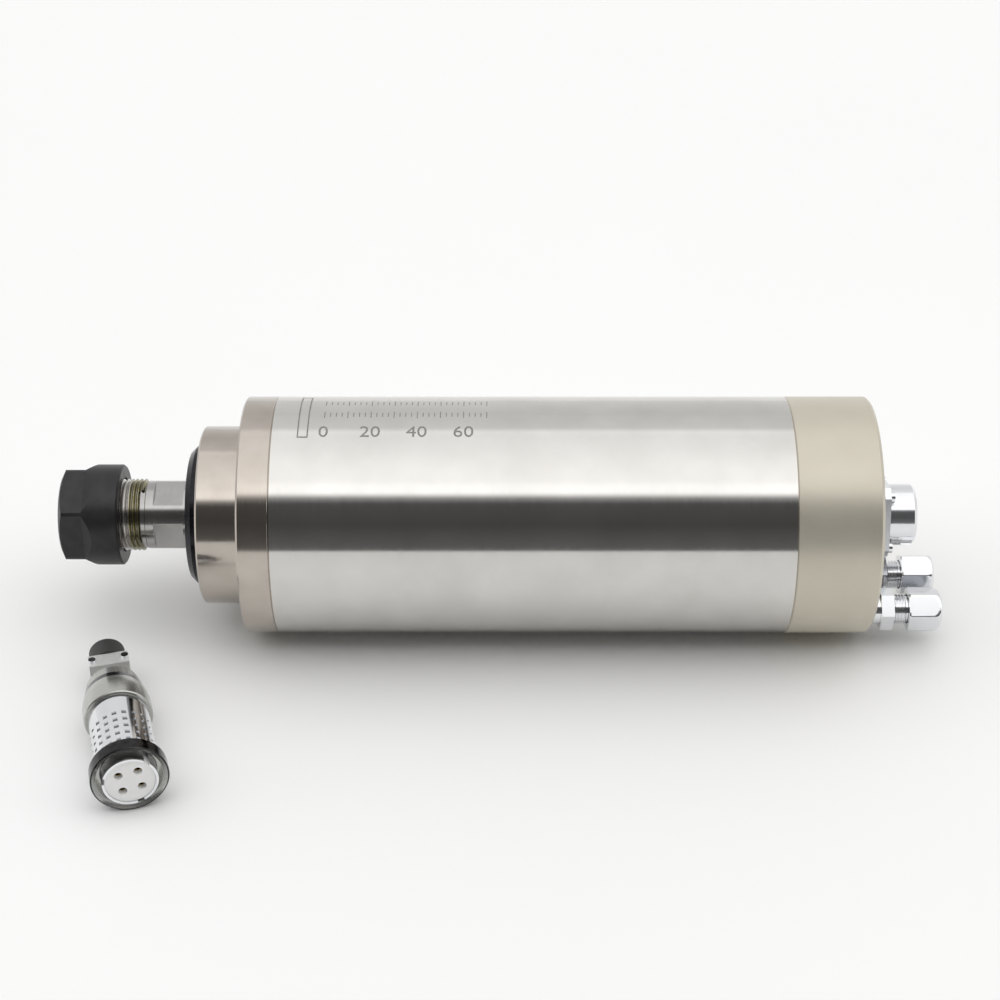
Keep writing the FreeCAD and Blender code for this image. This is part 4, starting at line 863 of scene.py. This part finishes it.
def etched_frame():
    """The plain narrow frame beside the scale."""
    x0, x1, low, high = MARK_BOX
    middle = (low + high) / 2
    half = math.radians(high - low) / 2 * BODY_RADIUS
    bm = bmesh.new()
    bar(bm, x0, x0 + FRAME_LINE, -half, half)
    bar(bm, x1 - FRAME_LINE, x1, -half, half)
    bar(bm, x0, x1, -half, -half + FRAME_LINE)
    bar(bm, x0, x1, half - FRAME_LINE, half)
    wrap(bm, middle)
    piece("etched_frame", bm, "housing", ETCHED)


# Stage, light and camera

CAMERA_TARGET_X = 85.06
CAMERA_RISE = 4.9
CAMERA_DISTANCE = 711.9
CAMERA_ELEVATION = 35.0
CAMERA_LENS = 75.5
CAMERA_SENSOR = 36.0
CAMERA_CLIP = (0.01, 50.0)

TABLE_SIZE = 6.0
ROOM_STRENGTH = 2.0

# What the polished steel mirrors, by angle in the plane across the spindle, from the horizon
# on the camera's side up over the top: (degrees, brightness)
STUDIO = ((-180, 0.85), (-90, 0.85), (-1, 0.8), (1, 0.15), (25, 0.08), (46, 0.1), (51, 0.4),
          (56, 1.72), (63, 1.66), (67, 1.5), (80, 1.43), (100, 1.28), (116, 1.2), (122, 1.24),
          (127, 0.9), (150, 0.78), (180, 0.85))


def camera():
    """A camera at the photograph's angle, square to the spindle's length."""
    data = bpy.data.cameras.new("camera")
    data.lens = CAMERA_LENS
    data.sensor_width = CAMERA_SENSOR
    data.clip_start, data.clip_end = CAMERA_CLIP
    made = bpy.data.objects.new("camera", data)
    bpy.context.scene.collection.objects.link(made)
    tilt = math.radians(CAMERA_ELEVATION)
    up = Vector((0.0, math.sin(tilt), math.cos(tilt)))
    back = Vector((0.0, -math.cos(tilt), math.sin(tilt)))
    target = Vector((CAMERA_TARGET_X * MM, 0.0, 0.0)) + up * CAMERA_RISE * MM
    made.location = target + back * CAMERA_DISTANCE * MM
    made.rotation_mode = "QUATERNION"
    made.rotation_quaternion = (-back).to_track_quat("-Z", "Y")
    bpy.context.scene.camera = made


def studio_light(tree):
    """The light of the room: the brightness of STUDIO at each angle across the spindle."""
    new = tree.nodes.new
    link = tree.links.new
    place = new("ShaderNodeTexCoord")
    split = new("ShaderNodeSeparateXYZ")
    link(place.outputs["Generated"], split.inputs["Vector"])
    flip = new("ShaderNodeMath")
    flip.operation = "MULTIPLY"
    flip.inputs[1].default_value = -1.0
    link(split.outputs["Y"], flip.inputs[0])
    angle = new("ShaderNodeMath")
    angle.operation = "ARCTAN2"
    link(split.outputs["Z"], angle.inputs[0])
    link(flip.outputs[0], angle.inputs[1])
    spread = new("ShaderNodeMapRange")
    spread.inputs["From Min"].default_value = -math.pi
    spread.inputs["From Max"].default_value = math.pi
    link(angle.outputs[0], spread.inputs["Value"])
    ramp = new("ShaderNodeValToRGB")
    band = ramp.color_ramp
    band.elements[0].position = 0.0
    band.elements[1].position = 1.0
    for degrees, _ in STUDIO[1:-1]:
        band.elements.new((degrees + 180) / 360)
    for element, (_, level) in zip(band.elements, STUDIO):
        shown = level / ROOM_STRENGTH
        element.color = (shown, shown, shown, 1.0)
    link(spread.outputs["Result"], ramp.inputs["Fac"])
    room = new("ShaderNodeBackground")
    room.inputs["Strength"].default_value = ROOM_STRENGTH
    link(ramp.outputs["Color"], room.inputs["Color"])
    return room.outputs["Background"]


def studio():
    """The room: white to the camera, and to the metal a soft light above a dark side."""
    world = bpy.data.worlds.new("studio")
    bpy.context.scene.world = world
    world.use_nodes = True
    tree = world.node_tree
    tree.nodes.clear()
    white = tree.nodes.new("ShaderNodeBackground")
    white.inputs["Color"].default_value = (1.0, 1.0, 1.0, 1.0)
    seen = tree.nodes.new("ShaderNodeLightPath")
    mix = tree.nodes.new("ShaderNodeMixShader")
    tree.links.new(seen.outputs["Is Camera Ray"], mix.inputs["Fac"])
    tree.links.new(studio_light(tree), mix.inputs[1])
    tree.links.new(white.outputs["Background"], mix.inputs[2])
    out = tree.nodes.new("ShaderNodeOutputWorld")
    tree.links.new(mix.outputs["Shader"], out.inputs["Surface"])


def table():
    """A pale table top under the part."""
    bm = bmesh.new()
    bmesh.ops.create_grid(bm, x_segments=1, y_segments=1, size=TABLE_SIZE)
    bmesh.ops.translate(bm, vec=(0, 0, FLOOR_Z * MM), verts=bm.verts)
    finish = Finish("table_white", (0.95, 0.95, 0.945), 0.0, 0.7)
    clouds = finish.noise(4.0, 2.0)
    finish.tint(clouds, (0.945, 0.945, 0.94), (0.955, 0.955, 0.95))
    mesh_object("table_top", bm, finish.material)


camera()
studio()
table()
dress_nodes()
nose_thread()
plug_place = plug_axis()
coupling_ring(plug_place)
plug_body(plug_place)
clamp_screw_slot_shade(plug_place)
threads()
hose_nut("inlet")
hose_nut("outlet")
socket_screw_cross_shade()
etched_scale()
etched_frame()

bpy.context.scene.view_settings.view_transform = "Standard"
